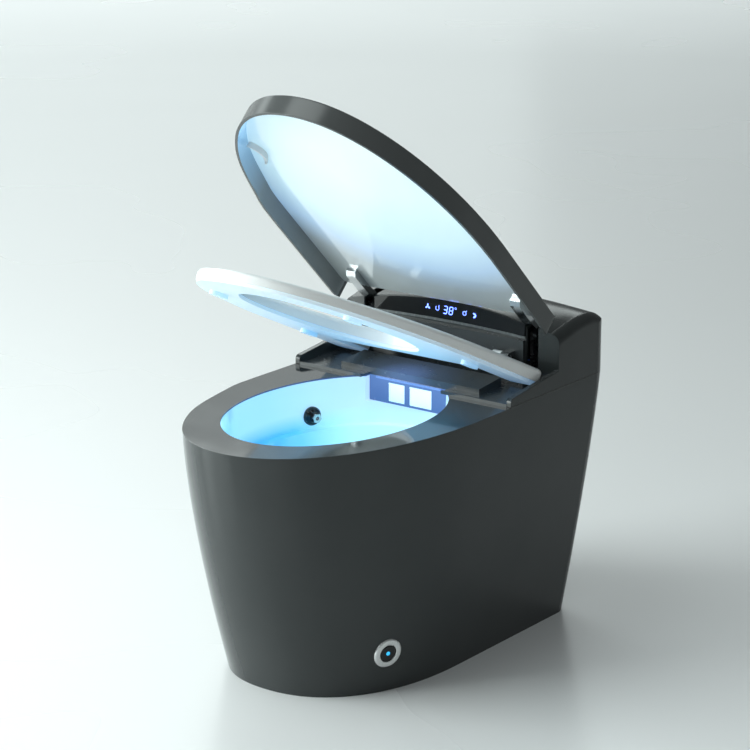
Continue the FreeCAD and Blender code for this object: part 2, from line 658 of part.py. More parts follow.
def rear_housing():
    rim, wall = size("rim_height"), size("housing_wall")
    shell = rear_block(0, rim).cut(rear_block(wall, rim - wall))
    shell = shell.fuse([housing_arm(side) for name, side in SIDES]).removeSplitter()
    front, axis_y = number(BLOCK_FRONT), number(LID_AXIS_Y)
    half_slot = size("lid_arm_width") / 2 + 6 * size("fit_gap")
    for name, side in SIDES:
        middle = side * size("lid_arm_x")
        shell = shell.cut(block(Vector(middle - half_slot, front - 1, rim + 24),
                                Vector(middle + half_slot, axis_y + 18, 2 * rim)))
    half_screen = size("screen_width") / 2
    low = rim + size("screen_rise")
    window = block(Vector(-half_screen, front - 1, low),
                   Vector(half_screen, front + wall + 1, low + size("screen_height")))
    return feature("rear_housing", shell.cut(window))


def recess_cover():
    """Floor and upstand of the recess between the arms, with a front lip and a plinth under the seat."""
    width = "(Sizes.body_width - 2 * Sizes.arm_wall - 2 * Sizes.fit_gap)"
    back = "(%s - Sizes.fit_gap)" % BLOCK_FRONT
    depth = "(%s - %s)" % (back, ARM_FRONT)
    floor = box("cover_floor", (width, depth, "Sizes.cover_thick"), ("-%s / 2" % width, ARM_FRONT, RIM))
    lip = box("cover_lip", (width, "Sizes.lip_width", "Sizes.lip_rise"), ("-%s / 2" % width, ARM_FRONT, RIM))
    upstand = box("cover_upstand", ("Sizes.upstand_width", "Sizes.upstand_thick", "Sizes.upstand_rise"),
                  ("-Sizes.upstand_width / 2", "%s - Sizes.upstand_thick" % back, RIM))
    plinth_back = "(%s + Sizes.plinth_depth)" % APRON_FRONT
    plinth = slab("cover_plinth", "YZ_Plane", [
        (APRON_FRONT, RIM), (plinth_back, RIM), (plinth_back, "Sizes.rim_height + Sizes.plinth_back_rise"),
        (APRON_FRONT, "Sizes.rim_height + Sizes.plinth_front_rise")], "Sizes.plinth_width")
    gate = box("cover_gate", ("Sizes.apron_width + 2 * Sizes.fit_gap", depth, "2 * Sizes.lip_rise"),
               ("-Sizes.apron_width / 2 - Sizes.fit_gap", "%s - %s" % (APRON_FRONT, depth),
                "Sizes.rim_height - Sizes.lip_rise / 2"))
    return join("recess_cover", cut("cover_plate", join("cover_blank", floor, lip, upstand), gate), plinth)


def front_apron():
    """Panel in the notch behind the bowl: two windows, and a foot that lies on the notch's floor."""
    plate = box("apron_plate", ("Sizes.apron_width", "Sizes.apron_thick",
                                "Sizes.rim_height - Sizes.notch_floor - Sizes.fit_gap"),
                ("-Sizes.apron_width / 2", APRON_FRONT, "Sizes.notch_floor"))
    foot = box("apron_foot", ("Sizes.apron_width", "Sizes.apron_gap", "Sizes.apron_foot"),
               ("-Sizes.apron_width / 2", "%s - Sizes.fit_gap" % APRON_BACK, "Sizes.notch_floor"))
    tools = []
    for window in WINDOWS:
        width, middle = "Sizes.%s_window_width" % window, "Sizes.%s_window_x" % window
        opening = (width, "3 * Sizes.apron_thick", "Sizes.window_high - Sizes.window_low")
        tools.append(box(window + "_window", opening,
                         ("%s - %s / 2" % (middle, width), "%s - Sizes.apron_thick" % APRON_FRONT,
                          "Sizes.window_low")))
        reach = "(%s / 2 + Sizes.flap_pin_length + Sizes.fit_gap)" % width
        tools.append(rod(window + "_pin_hole", "Sizes.flap_pin_radius + Sizes.run_gap", "2 * " + reach,
                         ("%s - %s" % (middle, reach), FLAP_PIN_Y, FLAP_PIN_Z), X_AXIS))
    return cut("front_apron", join("apron_blank", plate, foot), *tools)


def flap(label, window):
    """A window flap on two short pins near its top edge."""
    width, middle = "Sizes.%s_window_width" % window, "Sizes.%s_window_x" % window
    span = "(%s - 2 * Sizes.flap_gap)" % width
    height = "(Sizes.window_high - Sizes.window_low - 2 * Sizes.flap_gap)"
    plate = box(label + "_plate", (span, "Sizes.flap_thick", height),
                ("%s - %s / 2" % (middle, span), "%s - Sizes.flap_thick / 2" % FLAP_PIN_Y,
                 "Sizes.window_low + Sizes.flap_gap"))
    reach = "(%s / 2 + Sizes.flap_pin_length)" % width
    pin = rod(label + "_pin", "Sizes.flap_pin_radius", "2 * " + reach,
              ("%s - %s" % (middle, reach), FLAP_PIN_Y, FLAP_PIN_Z), X_AXIS)
    return join(label, plate, pin)


def bowl_light():
    return box("bowl_light", ("Sizes.light_length", "Sizes.light_size", "Sizes.light_size"),
               ("-Sizes.light_length / 2", "%s - Sizes.light_size" % APRON_FRONT,
                "Sizes.rim_height - Sizes.light_size"))


def arched_band(low_side, low_mid, high_side, high_mid, half, thick, y):
    """A band across the front of the block whose edges both arch up in the middle."""
    rim = size("rim_height")
    low = [Vector(x * half, y, rim + (low_mid if x == 0 else low_side)) for x in (-1, 0, 1)]
    high = [Vector(x * half, y, rim + (high_mid if x == 0 else high_side)) for x in (1, 0, -1)]
    wire = Part.Wire([Part.Arc(*low).toShape(), Part.makeLine(low[2], high[0]),
                      Part.Arc(*high).toShape(), Part.makeLine(high[2], low[0])])
    return Part.Face(wire).extrude(Vector(0, thick, 0))


def display_lens():
    y = number(BLOCK_FRONT) - size("lens_thick") - size("fit_gap")
    band = arched_band(size("lens_low_side"), size("lens_low_mid"), size("lens_high_side"),
                       size("lens_high_mid"),
                       size("lens_width") / 2, size("lens_thick"), y)
    return feature("display_lens", band)


def display_trim():
    gap, wide = size("fit_gap"), size("trim_width")
    thick = size("lens_thick") - 1
    y = number(BLOCK_FRONT) - thick - gap
    side, middle = size("lens_low_side") - gap, size("lens_low_mid") - gap
    band = arched_band(side - wide, middle - wide, side, middle, size("lens_width") / 2, thick, y)
    return feature("display_trim", band)


def display_board():
    return box("display_board", ("Sizes.screen_width + 2 * Sizes.board_edge", "Sizes.board_thick",
                                 "Sizes.screen_height"),
               ("-Sizes.screen_width / 2 - Sizes.board_edge",
                "%s + Sizes.housing_wall + Sizes.fit_gap" % BLOCK_FRONT,
                "Sizes.rim_height + Sizes.screen_rise"))


def lid_outline(inset, back_inset, height):
    """The lid's plan, set in by one distance round the bow and sides and by another at the rear."""
    back = number(REAR) - size("lid_back_set") - back_inset
    return outline(FRONT + size("lid_front_set") + inset, size("lid_width") / 2 - inset, back,
                   size("lid_corner"), size("rim_power"), height)


def lid_shell():
    """Outer skin of the lid: a deep tray, open at the rear, with the panel bonded into it."""
    low, skirt_height = number(LID_LOW), size("lid_skirt")
    blank = prism(lid_outline(0, 0, low), skirt_height)
    edges = [edge for edge in blank.Edges if edge.BoundBox.ZMin > low + skirt_height - 0.1]
    blank = blank.makeFillet(size("lid_edge_round"), edges)
    recess = prism(lid_outline(size("lid_rim"), -1, low - 1), number(PANEL_TOP) - low + 1)
    return tilted_lid(feature("lid_shell", blank.cut(recess)))


def tilted_lid(obj):
    obj.Placement = turn_about(LID_AXIS_Y, LID_AXIS_Z, size("lid_open_angle"))
    return obj


def lid_inner_panel():
    plan = lid_outline(size("lid_rim") + size("fit_gap"), size("fit_gap"), number(PANEL_LOW))
    return tilted_lid(feature("lid_inner_panel", prism(plan, size("panel_thick"))))


def lid_arm(label, side):
    """A gooseneck arm: flat under the lid's panel, then rising to the hub on the lid's axle."""
    top = "(%s - Sizes.fit_gap)" % PANEL_LOW
    low = "(%s - Sizes.lid_arm_thick)" % top
    bend = "(%s - Sizes.lid_back_set)" % REAR
    tip = "(%s - Sizes.lid_arm_reach)" % bend
    arm = slab(label + "_bar", "YZ_Plane", [
        (tip, top), (tip, "%s - Sizes.lid_arm_thick / 2" % top), ("%s + 7" % tip, low),
        ("%s + 4" % bend, low), ("%s + 3" % LID_AXIS_Y, "%s - 5" % LID_AXIS_Z),
        ("%s - 3" % LID_AXIS_Y, "%s + 5" % LID_AXIS_Z), (bend, top)], "Sizes.lid_arm_width")
    at(arm, "%d * Sizes.lid_arm_x" % side, "0", "0")
    start = "%d * Sizes.lid_arm_x - Sizes.lid_arm_width / 2" % side
    hub = rod(label + "_hub", "Sizes.hub_radius", "Sizes.lid_arm_width", (start, LID_AXIS_Y, LID_AXIS_Z),
              X_AXIS)
    bore = rod(label + "_bore", "Sizes.axle_radius + Sizes.run_gap", "Sizes.lid_arm_width + 2",
               (start + " - 1", LID_AXIS_Y, LID_AXIS_Z), X_AXIS)
    return tilted_lid(cut(label, join(label + "_blank", arm, hub), bore))


def lid_buffers():
    """Two soft tabs inside the lid's rim."""
    edge = FRONT + size("lid_front_set")
    middle, half_length = edge + size("buffer_front_set"), size("buffer_length") / 2
    reach = bow_half(size("lid_width") / 2 - size("lid_rim"), edge + size("lid_rim"), size("rim_power"),
                     middle - half_length) - size("buffer_gap")
    top = number(PANEL_LOW) - size("fit_gap")
    pads = []
    for name, side in SIDES:
        x = min(side * reach, side * (reach - size("buffer_width")))
        low = Vector(x, middle - half_length, top - size("buffer_height"))
        pads.append(block(low, low + Vector(size("buffer_width"), 2 * half_length, size("buffer_height"))))
    return tilted_lid(feature("lid_buffers", Part.makeCompound(pads)))


def hinge_bracket(label, side):
    """A foot on the pedestal's deck with two cheeks that hold the lid's axle."""
    span = "(Sizes.lid_arm_width + 4 * Sizes.fit_gap)"
    outer = "(%s + 2 * Sizes.cheek_thick)" % span
    low_y = "(%s - Sizes.bracket_depth / 2)" % LID_AXIS_Y
    rise = "(Sizes.lid_axis_rise + Sizes.cheek_top)"
    centre = "%d * Sizes.lid_arm_x" % side
    blank = box(label + "_blank", (outer, "Sizes.bracket_depth", rise),
                ("%s - %s / 2" % (centre, outer), low_y, RIM))
    gap = box(label + "_gap", (span, "Sizes.bracket_depth + 2", rise),
              ("%s - %s / 2" % (centre, span), low_y + " - 1", "Sizes.rim_height + Sizes.bracket_thick"))
    bore = rod(label + "_bore", "Sizes.axle_radius + Sizes.run_gap / 2", "%s + 2" % outer,
               ("%s - %s / 2 - 1" % (centre, outer), LID_AXIS_Y, LID_AXIS_Z), X_AXIS)
    return cut(label, blank, gap, bore)


def lid_axles():
    span = "(Sizes.lid_arm_width + 4 * Sizes.fit_gap + 2 * Sizes.cheek_thick)"
    pins = [rod("lid_axle_" + name, "Sizes.axle_radius", span,
                ("%d * Sizes.lid_arm_x - %s / 2" % (side, span), LID_AXIS_Y, LID_AXIS_Z), X_AXIS)
            for name, side in SIDES]
    return join("lid_axles", *pins)


def lid_drive():
    """Motor and gearbox on the left axle."""
    face = "(Sizes.lid_arm_x - Sizes.lid_arm_width / 2 - 3 * Sizes.fit_gap - Sizes.cheek_thick)"
    can = rod("lid_drive_can", "Sizes.drive_radius", "Sizes.drive_length / 2",
              ("-" + face, LID_AXIS_Y, LID_AXIS_Z), X_AXIS)
    motor = rod("lid_drive_motor", "Sizes.drive_radius * 0.75", "Sizes.drive_length",
                ("-" + face, LID_AXIS_Y, LID_AXIS_Z), X_AXIS)
    return join("lid_drive", can, motor)


def seat_outline(inset, height):
    return outline(number(SEAT_FRONT) + inset, size("seat_width") / 2 - inset, number(SEAT_BACK) - inset,
                   size("seat_corner") - inset, size("rim_power"), height)


def seat_hole(inset, height):
    front = number(SEAT_FRONT) + size("hole_front_rim")
    back = number(SEAT_BACK) - size("hole_back_rim")
    return oval(size("hole_width") / 2 + inset, (back - front) / 2 + inset, (front + back) / 2, height)


def seat_relief():
    """Space under the seat's rear bar for the plinth; it runs out at the rear edge."""
    low = number(SEAT_LOW)
    half = size("plinth_width") / 2 + size("relief_gap")
    return block(Vector(-half, number(APRON_FRONT) - size("relief_reach"), low - 1),
                 Vector(half, number(REAR), low + size("relief_height")))


def seat_ring(inset, low, thick):
    ring = prism(seat_outline(inset, low), thick)
    return ring.cut(prism(seat_hole(inset, low - 1), thick + 2))


def tilted_seat(obj):
    obj.Placement = turn_about(SEAT_AXIS_Y, SEAT_AXIS_Z, size("seat_open_angle"))
    return obj


def seat_upper():
    """The seat's top shell: a ring that thickens to the rear, with two hinge lugs behind."""
    low = number(SEAT_LOW) + size("seat_base_thick")
    thin = size("seat_front_thick") - size("seat_base_thick")
    thick = size("seat_back_thick") - size("seat_base_thick")
    front, back = number(SEAT_FRONT), number(SEAT_BACK)
    ring = seat_ring(0, low, thick)
    wide, flat = size("seat_width"), back - size("seat_flat")
    wedge = Part.makePolygon([Vector(-wide, front - 1, low + thin), Vector(-wide, flat, low + thick),
                              Vector(-wide, flat, low + 2 * thick), Vector(-wide, front - 1, low + 2 * thick),
                              Vector(-wide, front - 1, low + thin)])
    ring = ring.cut(Part.Face(wedge).extrude(Vector(2 * wide, 0, 0)))
    top = [edge for edge in ring.Edges if edge.BoundBox.ZMin > low + thin - 0.5
           and edge.Length > 2 * size("seat_corner") and edge.BoundBox.YLength > 1]
    ring = ring.makeFillet(size("seat_edge_round"), top).cut(seat_relief())
    axis_y, axis_z = number(SEAT_AXIS_Y), number(SEAT_AXIS_Z)
    radius, span = size("seat_lug_radius"), size("seat_lug_width")
    for name, side in SIDES:
        start = side * size("seat_lug_x") - span / 2
        knuckle = Part.makeCylinder(radius, span, Vector(start, axis_y, axis_z), X_AXIS)
        neck = block(Vector(start, axis_y - radius, low + thick / 2), Vector(start + span, back, axis_z))
        neck = neck.common(block(Vector(start, axis_y - radius, low),
                                 Vector(start + span, axis_y + 6, axis_z)))
        bore = Part.makeCylinder(size("axle_radius") + size("run_gap"), span + 2,
                                 Vector(start - 1, axis_y, axis_z), X_AXIS)
        ring = ring.fuse([knuckle, neck]).cut(bore)
    return tilted_seat(feature("seat_upper", ring.removeSplitter()))


def seat_lower():
    """The seat's underside plate."""
    low = number(SEAT_LOW)
    plate = seat_ring(size("seat_base_inset"), low, size("seat_base_thick")).cut(seat_relief())
    return tilted_seat(feature("seat_lower", plate))


def seat_bumpers():
    """Four long pads under the seat."""
    pads = []
    low, height = "Sizes.rim_height + Sizes.move_gap", "Sizes.seat_rise - Sizes.move_gap"
    places = {"side": "%s - Sizes.bumper_side_set" % SEAT_BACK,
              "front": "%s + Sizes.bumper_front_set" % SEAT_FRONT}
    for name, side in SIDES:
        for place, y in places.items():
            label, x = "seat_bumper_%s_%s" % (place, name), "%d * Sizes.bumper_%s_x" % (side, place)
            for end, step in (("fore", -1), ("aft", 1)):
                pads.append(rod("%s_%s" % (label, end), "Sizes.bumper_radius", height,
                                (x, "%s + %d * Sizes.bumper_length / 2" % (y, step), low)))
            pads.append(box(label + "_bar", ("2 * Sizes.bumper_radius", "Sizes.bumper_length", height),
                            (x + " - Sizes.bumper_radius", "%s - Sizes.bumper_length / 2" % y, low)))
    return tilted_seat(join("seat_bumpers", *pads))


def ear_start(side):
    """Low X of an ear, just outside the seat's lug on one side."""
    offset = "(Sizes.seat_lug_x + Sizes.seat_lug_width / 2 + Sizes.move_gap)"
    return offset if side > 0 else "-%s - Sizes.ear_width" % offset


def seat_ears():
    """Two ears on the upstand that carry the seat's hinge pins."""
    ears = []
    wall = "(%s - Sizes.fit_gap - Sizes.upstand_thick)" % BLOCK_FRONT
    for name, side in SIDES:
        start = ear_start(side)
        nose = rod("ear_nose_" + name, "Sizes.seat_lug_radius", "Sizes.ear_width",
                   (start, SEAT_AXIS_Y, SEAT_AXIS_Z), X_AXIS)
        arm = box("ear_arm_" + name, ("Sizes.ear_width", "%s - %s" % (wall, SEAT_AXIS_Y),
                                      "2 * Sizes.seat_lug_radius"),
                  (start, SEAT_AXIS_Y, "%s - Sizes.seat_lug_radius" % SEAT_AXIS_Z))
        bore = rod("ear_bore_" + name, "Sizes.axle_radius + Sizes.run_gap / 2", "Sizes.ear_width + 2",
                   (start + " - 1", SEAT_AXIS_Y, SEAT_AXIS_Z), X_AXIS)
        ears.append(cut("ear_" + name, join("ear_blank_" + name, nose, arm), bore))
    return join("seat_ears", *ears)


def seat_hinge_pins():
    span = "(Sizes.seat_lug_width + Sizes.move_gap + Sizes.ear_width)"
    pins = []
    for name, side in SIDES:
        inner = "(Sizes.seat_lug_x - Sizes.seat_lug_width / 2)"
        start = inner if side > 0 else "-%s - %s" % (inner, span)
        pins.append(rod("seat_pin_" + name, "Sizes.axle_radius", span, (start, SEAT_AXIS_Y, SEAT_AXIS_Z),
                        X_AXIS))
    return join("seat_hinge_pins", *pins)


def chassis_tray():
    """Moulded tray in the well: floor and low walls, open in front where the apron stands."""
    width = "(Sizes.well_width - 2 * Sizes.fit_gap)"
    depth = "(Sizes.well_length - 2 * Sizes.fit_gap)"
    front = "(%s + Sizes.fit_gap)" % WELL_FRONT
    height = "(Sizes.rim_height - Sizes.well_floor - Sizes.fit_gap)"
    blank = box("tray_blank", (width, depth, height), ("-%s / 2" % width, front, "Sizes.well_floor"))
    hollow = box("tray_hollow", (width + " - 2 * Sizes.tray_wall", depth + " - 2 * Sizes.tray_wall",
                                 height),
                 ("Sizes.tray_wall - %s / 2" % width, front + " + Sizes.tray_wall", TRAY_TOP))
    gate = box("tray_gate", ("Sizes.notch_width", "4 * Sizes.tray_wall", height),
               ("-Sizes.notch_width / 2", front + " - Sizes.tray_wall", TRAY_TOP))
    holes = [rod("tray_inlet_hole", "Sizes.inlet_collar + Sizes.fit_gap", "3 * Sizes.tray_floor",
                 ("Sizes.inlet_x", INLET_Y, "Sizes.well_floor - Sizes.tray_floor")),
             rod("tray_gland_hole", "Sizes.gland_radius + Sizes.fit_gap", "3 * Sizes.tray_floor",
                 ("Sizes.gland_x", GLAND_Y, "Sizes.well_floor - Sizes.tray_floor"))]
    for index, (x, y) in enumerate(screw_places()):
        holes.append(rod("tray_screw_hole_%d" % index, "Sizes.screw_radius + Sizes.fit_gap",
                         "3 * Sizes.tray_floor",
                         (x, y, "Sizes.well_floor - Sizes.tray_floor")))
    return cut("chassis_tray", blank, hollow, gate, *holes)


def screw_places():
    """The tray screws' places, as expressions."""
    reach = "(Sizes.well_width / 2 - Sizes.screw_inset)"
    ends = ("%s + Sizes.screw_inset" % WELL_FRONT, "%s - Sizes.screw_inset" % WELL_BACK)
    return [("%d * %s" % (side, reach), y) for side in (-1, 1) for y in ends]


def chassis_screws():
    screws = []
    for index, (x, y) in enumerate(screw_places()):
        head = rod("screw_head_%d" % index, "Sizes.screw_head_radius", "Sizes.tray_floor", (x, y, TRAY_TOP))
        shank = rod("screw_shank_%d" % index, "Sizes.screw_radius", "Sizes.screw_length",
                    (x, y, "%s - Sizes.screw_length" % TRAY_TOP))
        screws.append(join("screw_%d" % index, head, shank))
    return join("chassis_screws", *screws)


def wand_point(distance):
    """A point on the wand's line, a distance behind the apron's front, as three expressions."""
    return ("Sizes.wand_window_x", "%s + (%s) * cos(Sizes.wand_slope)" % (APRON_FRONT, distance),
            "Sizes.wand_height + (%s) * sin(Sizes.wand_slope)" % distance)


def wand_rod(name, radius, length, distance):
    """A cylinder along the wand's line, from a distance behind the apron's front, going back."""
    slope = math.radians(size("wand_slope"))
    return rod(name, radius, length, wand_point(distance), Vector(0, math.cos(slope), math.sin(slope)))


def spray_wand():
    return wand_rod("spray_wand", "Sizes.wand_radius", "Sizes.wand_length - Sizes.wand_tip_length",
                    "Sizes.wand_setback + Sizes.wand_tip_length")


def wand_tip():
    """The changeable nozzle head on the wand's end."""
    head = wand_rod("wand_tip_head", "Sizes.wand_radius - 0.5", "Sizes.wand_tip_length",
                    "Sizes.wand_setback")
    jets = []
    for step in (-1, 0, 1):
        jet = wand_point("Sizes.wand_setback + Sizes.wand_tip_length / 2 + %d * 3" % step)
        jets.append(rod("wand_jet_%d" % (step + 1), "0.8", "2 * Sizes.wand_radius", jet))
    return cut("wand_tip", head, *jets)


def wand_rail():
    """Guide block that the wand slides through, standing on the tray."""
    start = wand_point("Sizes.apron_thick + Sizes.apron_gap + Sizes.tray_wall")
    end = wand_point("Sizes.apron_thick + Sizes.apron_gap + Sizes.tray_wall + Sizes.rail_length")
    block_body = slab("rail_block", "YZ_Plane", [
        (start[1], TRAY_TOP), (end[1], TRAY_TOP), (end[1], end[2] + " + Sizes.rail_roof"),
        (start[1], start[2] + " + Sizes.rail_roof")],
        "Sizes.rail_width")
    at(block_body, "Sizes.wand_window_x", "0", "0")
    bore = wand_rod("rail_bore", "Sizes.wand_radius + Sizes.run_gap", "2 * Sizes.wand_length", "0")
    return cut("wand_rail", block_body, bore)


def wand_motor():
    foot = wand_point("Sizes.wand_setback + Sizes.rail_length * 0.75")
    return rod("wand_motor", "Sizes.wand_motor_radius", "Sizes.wand_motor_length",
               ("Sizes.wand_window_x + Sizes.rail_width / 2 + Sizes.fit_gap", foot[1],
                "%s + Sizes.wand_motor_radius" % TRAY_TOP), X_AXIS)


def dryer_duct():
    """Square duct from the blower to the right-hand window."""
    front = "(%s + Sizes.fit_gap)" % APRON_BACK
    length = "(%s - Sizes.blower_radius - Sizes.fit_gap - %s)" % (BLOWER_Y, front)
    low = "(Sizes.window_low + 2)"
    outer = box("duct_outer", ("Sizes.duct_width", length, "Sizes.duct_height"),
                ("Sizes.air_window_x - Sizes.duct_width / 2", front, low))
    inner = box("duct_inner", ("Sizes.duct_width - 2 * Sizes.duct_wall", length + " + 2",
                               "Sizes.duct_height - 2 * Sizes.duct_wall"),
                ("Sizes.air_window_x - Sizes.duct_width / 2 + Sizes.duct_wall", front + " - 1",
                 low + " + Sizes.duct_wall"))
    return cut("dryer_duct", outer, inner)


def dryer_blower():
    """Round fan casing with its motor on one side."""
    height = "(%s + Sizes.blower_radius)" % TRAY_TOP
    start = "(Sizes.air_window_x - Sizes.blower_width / 2)"
    case = rod("blower_case", "Sizes.blower_radius", "Sizes.blower_width",
               (start, BLOWER_Y, height), X_AXIS)
    motor = rod("blower_motor", "Sizes.blower_motor_radius",
                "Sizes.blower_width + Sizes.blower_motor_length",
                (start, BLOWER_Y, height), X_AXIS)
    return join("dryer_blower", case, motor)


def deodoriser_fan():
    x = "(-Sizes.well_width / 2 + Sizes.tray_wall + 2 * Sizes.screw_inset)"
    y = "(%s + Sizes.tray_wall + Sizes.screw_inset)" % WELL_FRONT
    case = box("fan_case", ("Sizes.fan_size", "Sizes.fan_size", "Sizes.fan_height"), (x, y, TRAY_TOP))
    hole = rod("fan_hole", "Sizes.fan_hole", "Sizes.fan_height",
               (x + " + Sizes.fan_size / 2", y + " + Sizes.fan_size / 2", TRAY_TOP + " + 2"))
    hub = rod("fan_hub", "Sizes.fan_hole / 2", "Sizes.fan_height - 2",
              (x + " + Sizes.fan_size / 2", y + " + Sizes.fan_size / 2", TRAY_TOP + " + 1"))
    return join("deodoriser_fan", cut("fan_shell", case, hole), hub)


def instant_heater():
    case = box("heater_case", ("Sizes.heater_length", "Sizes.heater_depth", "Sizes.heater_height"),
               ("Sizes.heater_x - Sizes.heater_length / 2", "%s - Sizes.heater_depth / 2" % HEATER_Y,
                TRAY_TOP))
    face = "%s - Sizes.heater_depth / 2 - Sizes.port_length" % HEATER_Y
    height = TRAY_TOP + " + Sizes.heater_height / 2"
    ports = []
    for step in (-1, 1):
        x = "Sizes.heater_x + %d * Sizes.port_spread" % step
        ports.append(rod("heater_port_%d" % (step + 1), "Sizes.port_radius",
                         "Sizes.port_length + Sizes.port_radius", (x, face, height), Y_AXIS))
    return join("instant_heater", case, *ports)


def control_board():
    """Circuit board on four posts over the heater."""
    top = "(%s + Sizes.board_rise)" % TRAY_TOP
    plate = box("board_plate", ("Sizes.board_length", "Sizes.board_depth", "Sizes.board_thick"),
                ("Sizes.heater_x - Sizes.board_length / 2", "%s - Sizes.board_depth / 2" % HEATER_Y, top))
    posts = []
    for step_x in (-1, 1):
        for step_y in (-1, 1):
            x = "Sizes.heater_x + %d * (Sizes.board_length / 2 - Sizes.post_radius)" % step_x
            y = "%s + %d * (Sizes.board_depth / 2 - Sizes.post_radius)" % (HEATER_Y, step_y)
            posts.append(rod("board_post_%d_%d" % (step_x + 1, step_y + 1), "Sizes.post_radius",
                             "Sizes.board_rise + Sizes.board_thick / 2", (x, y, TRAY_TOP)))
    return join("control_board", plate, *posts)


def water_pump():
    height = "(%s + Sizes.pump_radius)" % TRAY_TOP
    can = rod("pump_can", "Sizes.pump_radius", "Sizes.pump_length",
              ("Sizes.pump_x", PUMP_Y, height), Y_AXIS)
    head = rod("pump_head", "Sizes.pump_radius * 0.6", "Sizes.pump_length + Sizes.pump_nose",
               ("Sizes.pump_x", "%s - Sizes.pump_nose" % PUMP_Y, height), Y_AXIS)
    return join("water_pump", can, head)


def water_inlet():
    """Inlet stub below the well's floor, with a collar through it and a flange on the tray."""
    through = "(Sizes.tray_floor + Sizes.bowl_wall)"
    end = "(-%s - Sizes.inlet_length)" % through
    inlet = turned("water_inlet", [
        ("Sizes.inlet_bore", end), ("Sizes.inlet_radius", end), ("Sizes.inlet_radius", "-" + through),
        ("Sizes.inlet_collar", "-" + through), ("Sizes.inlet_collar", "0"), ("Sizes.inlet_flange", "0"),
        ("Sizes.inlet_flange", "Sizes.inlet_flange_thick"), ("Sizes.inlet_bore",
                                                             "Sizes.inlet_flange_thick")])
    return at(inlet, "Sizes.inlet_x", INLET_Y, TRAY_TOP)


def inlet_valve():
    case = box("valve_case", ("Sizes.valve_width", "Sizes.valve_depth", "Sizes.valve_height"),
               ("Sizes.inlet_x - Sizes.valve_width / 2", "%s - Sizes.valve_depth / 2" % INLET_Y,
                TRAY_TOP + " + Sizes.inlet_flange_thick"))
    coil = rod("valve_coil", "Sizes.valve_depth / 3", "16",
               ("Sizes.inlet_x", INLET_Y, TRAY_TOP + " + Sizes.valve_height"))
    return join("inlet_valve", case, coil)


def flush_valve():
    neck, shoulder = "Sizes.flush_radius * 0.7", "Sizes.flush_height * 0.6"
    valve = turned("flush_valve", [
        ("0", "0"), ("Sizes.flush_radius", "0"), ("Sizes.flush_radius", shoulder), (neck, shoulder),
        (neck, "Sizes.flush_height"), ("0", "Sizes.flush_height")])
    return at(valve, "Sizes.flush_x", FLUSH_Y, TRAY_TOP)


def power_gland():
    gland = turned("power_gland", [("Sizes.gland_radius - 3", "4 - Sizes.gland_length"),
                                   ("Sizes.gland_radius", "4 - Sizes.gland_length"),
                                   ("Sizes.gland_radius", "0"), ("Sizes.gland_flange",
                                                                 "0"), ("Sizes.gland_flange", "4"),
                                   ("Sizes.gland_radius - 3", "4")])
    return at(gland, "Sizes.gland_x", GLAND_Y, TRAY_TOP)


def foam_nozzle():
    """Rounded base with a stem through the bowl wall."""
    nozzle = turned("foam_nozzle", [("0", "-Sizes.glaze_wall"), ("Sizes.foam_stem", "-Sizes.glaze_wall"),
                                    ("Sizes.foam_stem", "-Sizes.foam_sink"),
                                    ("Sizes.foam_radius", "-Sizes.foam_sink"), ("Sizes.foam_radius",
                                                                  "Sizes.foam_rise / 3"),
                                    ("Sizes.foam_radius * 0.85", "Sizes.foam_rise * 0.75"),
                                    ("Sizes.foam_radius * 0.6", "Sizes.foam_rise"), ("0",
                                                                                     "Sizes.foam_rise")])
    nozzle.Placement = foam_place()
    return nozzle


def foam_nozzle_nut():
    """Six-sided nut on the nozzle's face."""
    corners = [("Sizes.foam_nut_radius * cos(%d)" % (60 * step),
                "Sizes.foam_nut_radius * sin(%d)" % (60 * step))
               for step in range(6)]
    nut = slab("foam_nut_blank", "XY_Plane", corners, "Sizes.foam_nut_height")
    bore = rod("foam_nut_bore", "Sizes.foam_bore", "2 * Sizes.foam_nut_height",
               ("0", "0", "-Sizes.foam_nut_height / 4"))
    drilled = cut("foam_nozzle_nut", nut, bore)
    lift = size("foam_rise") + size("foam_nut_height") / 2
    drilled.Placement = foam_place().multiply(FreeCAD.Placement(Vector(0, 0, lift), FreeCAD.Rotation()))
    return drilled


def foot_bezel():
    """Chrome ring and barrel set in the flank, closed behind but for the button's stem."""
    bore = "(Sizes.foot_button + Sizes.move_gap)"
    stem = "(Sizes.foot_stem + Sizes.run_gap)"
    bezel = turned("foot_bezel", [
        (stem, "-Sizes.foot_depth"), ("Sizes.foot_barrel", "-Sizes.foot_depth"), ("Sizes.foot_barrel",
                                                                                  "-Sizes.foot_sink"),
        ("Sizes.foot_flange", "-Sizes.foot_sink"), ("Sizes.foot_flange", "Sizes.foot_proud * 0.4"),
        ("Sizes.foot_flange - 2", "Sizes.foot_proud"), (bore, "Sizes.foot_proud"), (bore,
                                                                                    "3 - Sizes.foot_depth"),
        (stem, "3 - Sizes.foot_depth")])
    bezel.Placement = foot_place()
    return bezel


def foot_button():
    """Push button with a guide stem; its face has a seat for the light."""
    button = turned("foot_button", [
        ("0", "-Sizes.foot_depth - 2"), ("Sizes.foot_stem", "-Sizes.foot_depth - 2"), ("Sizes.foot_stem",
                                                                                       "-8"),
        ("Sizes.foot_button", "-8"), ("Sizes.foot_button", "Sizes.foot_proud - 1.5"),
        ("Sizes.foot_button - 2", "Sizes.foot_proud - 0.5"), ("Sizes.foot_light + Sizes.fit_gap",
                                                              "Sizes.foot_proud - 0.5"),
        ("Sizes.foot_light + Sizes.fit_gap", "Sizes.foot_proud - 2"), ("0", "Sizes.foot_proud - 2")])
    button.Placement = foot_place()
    return button


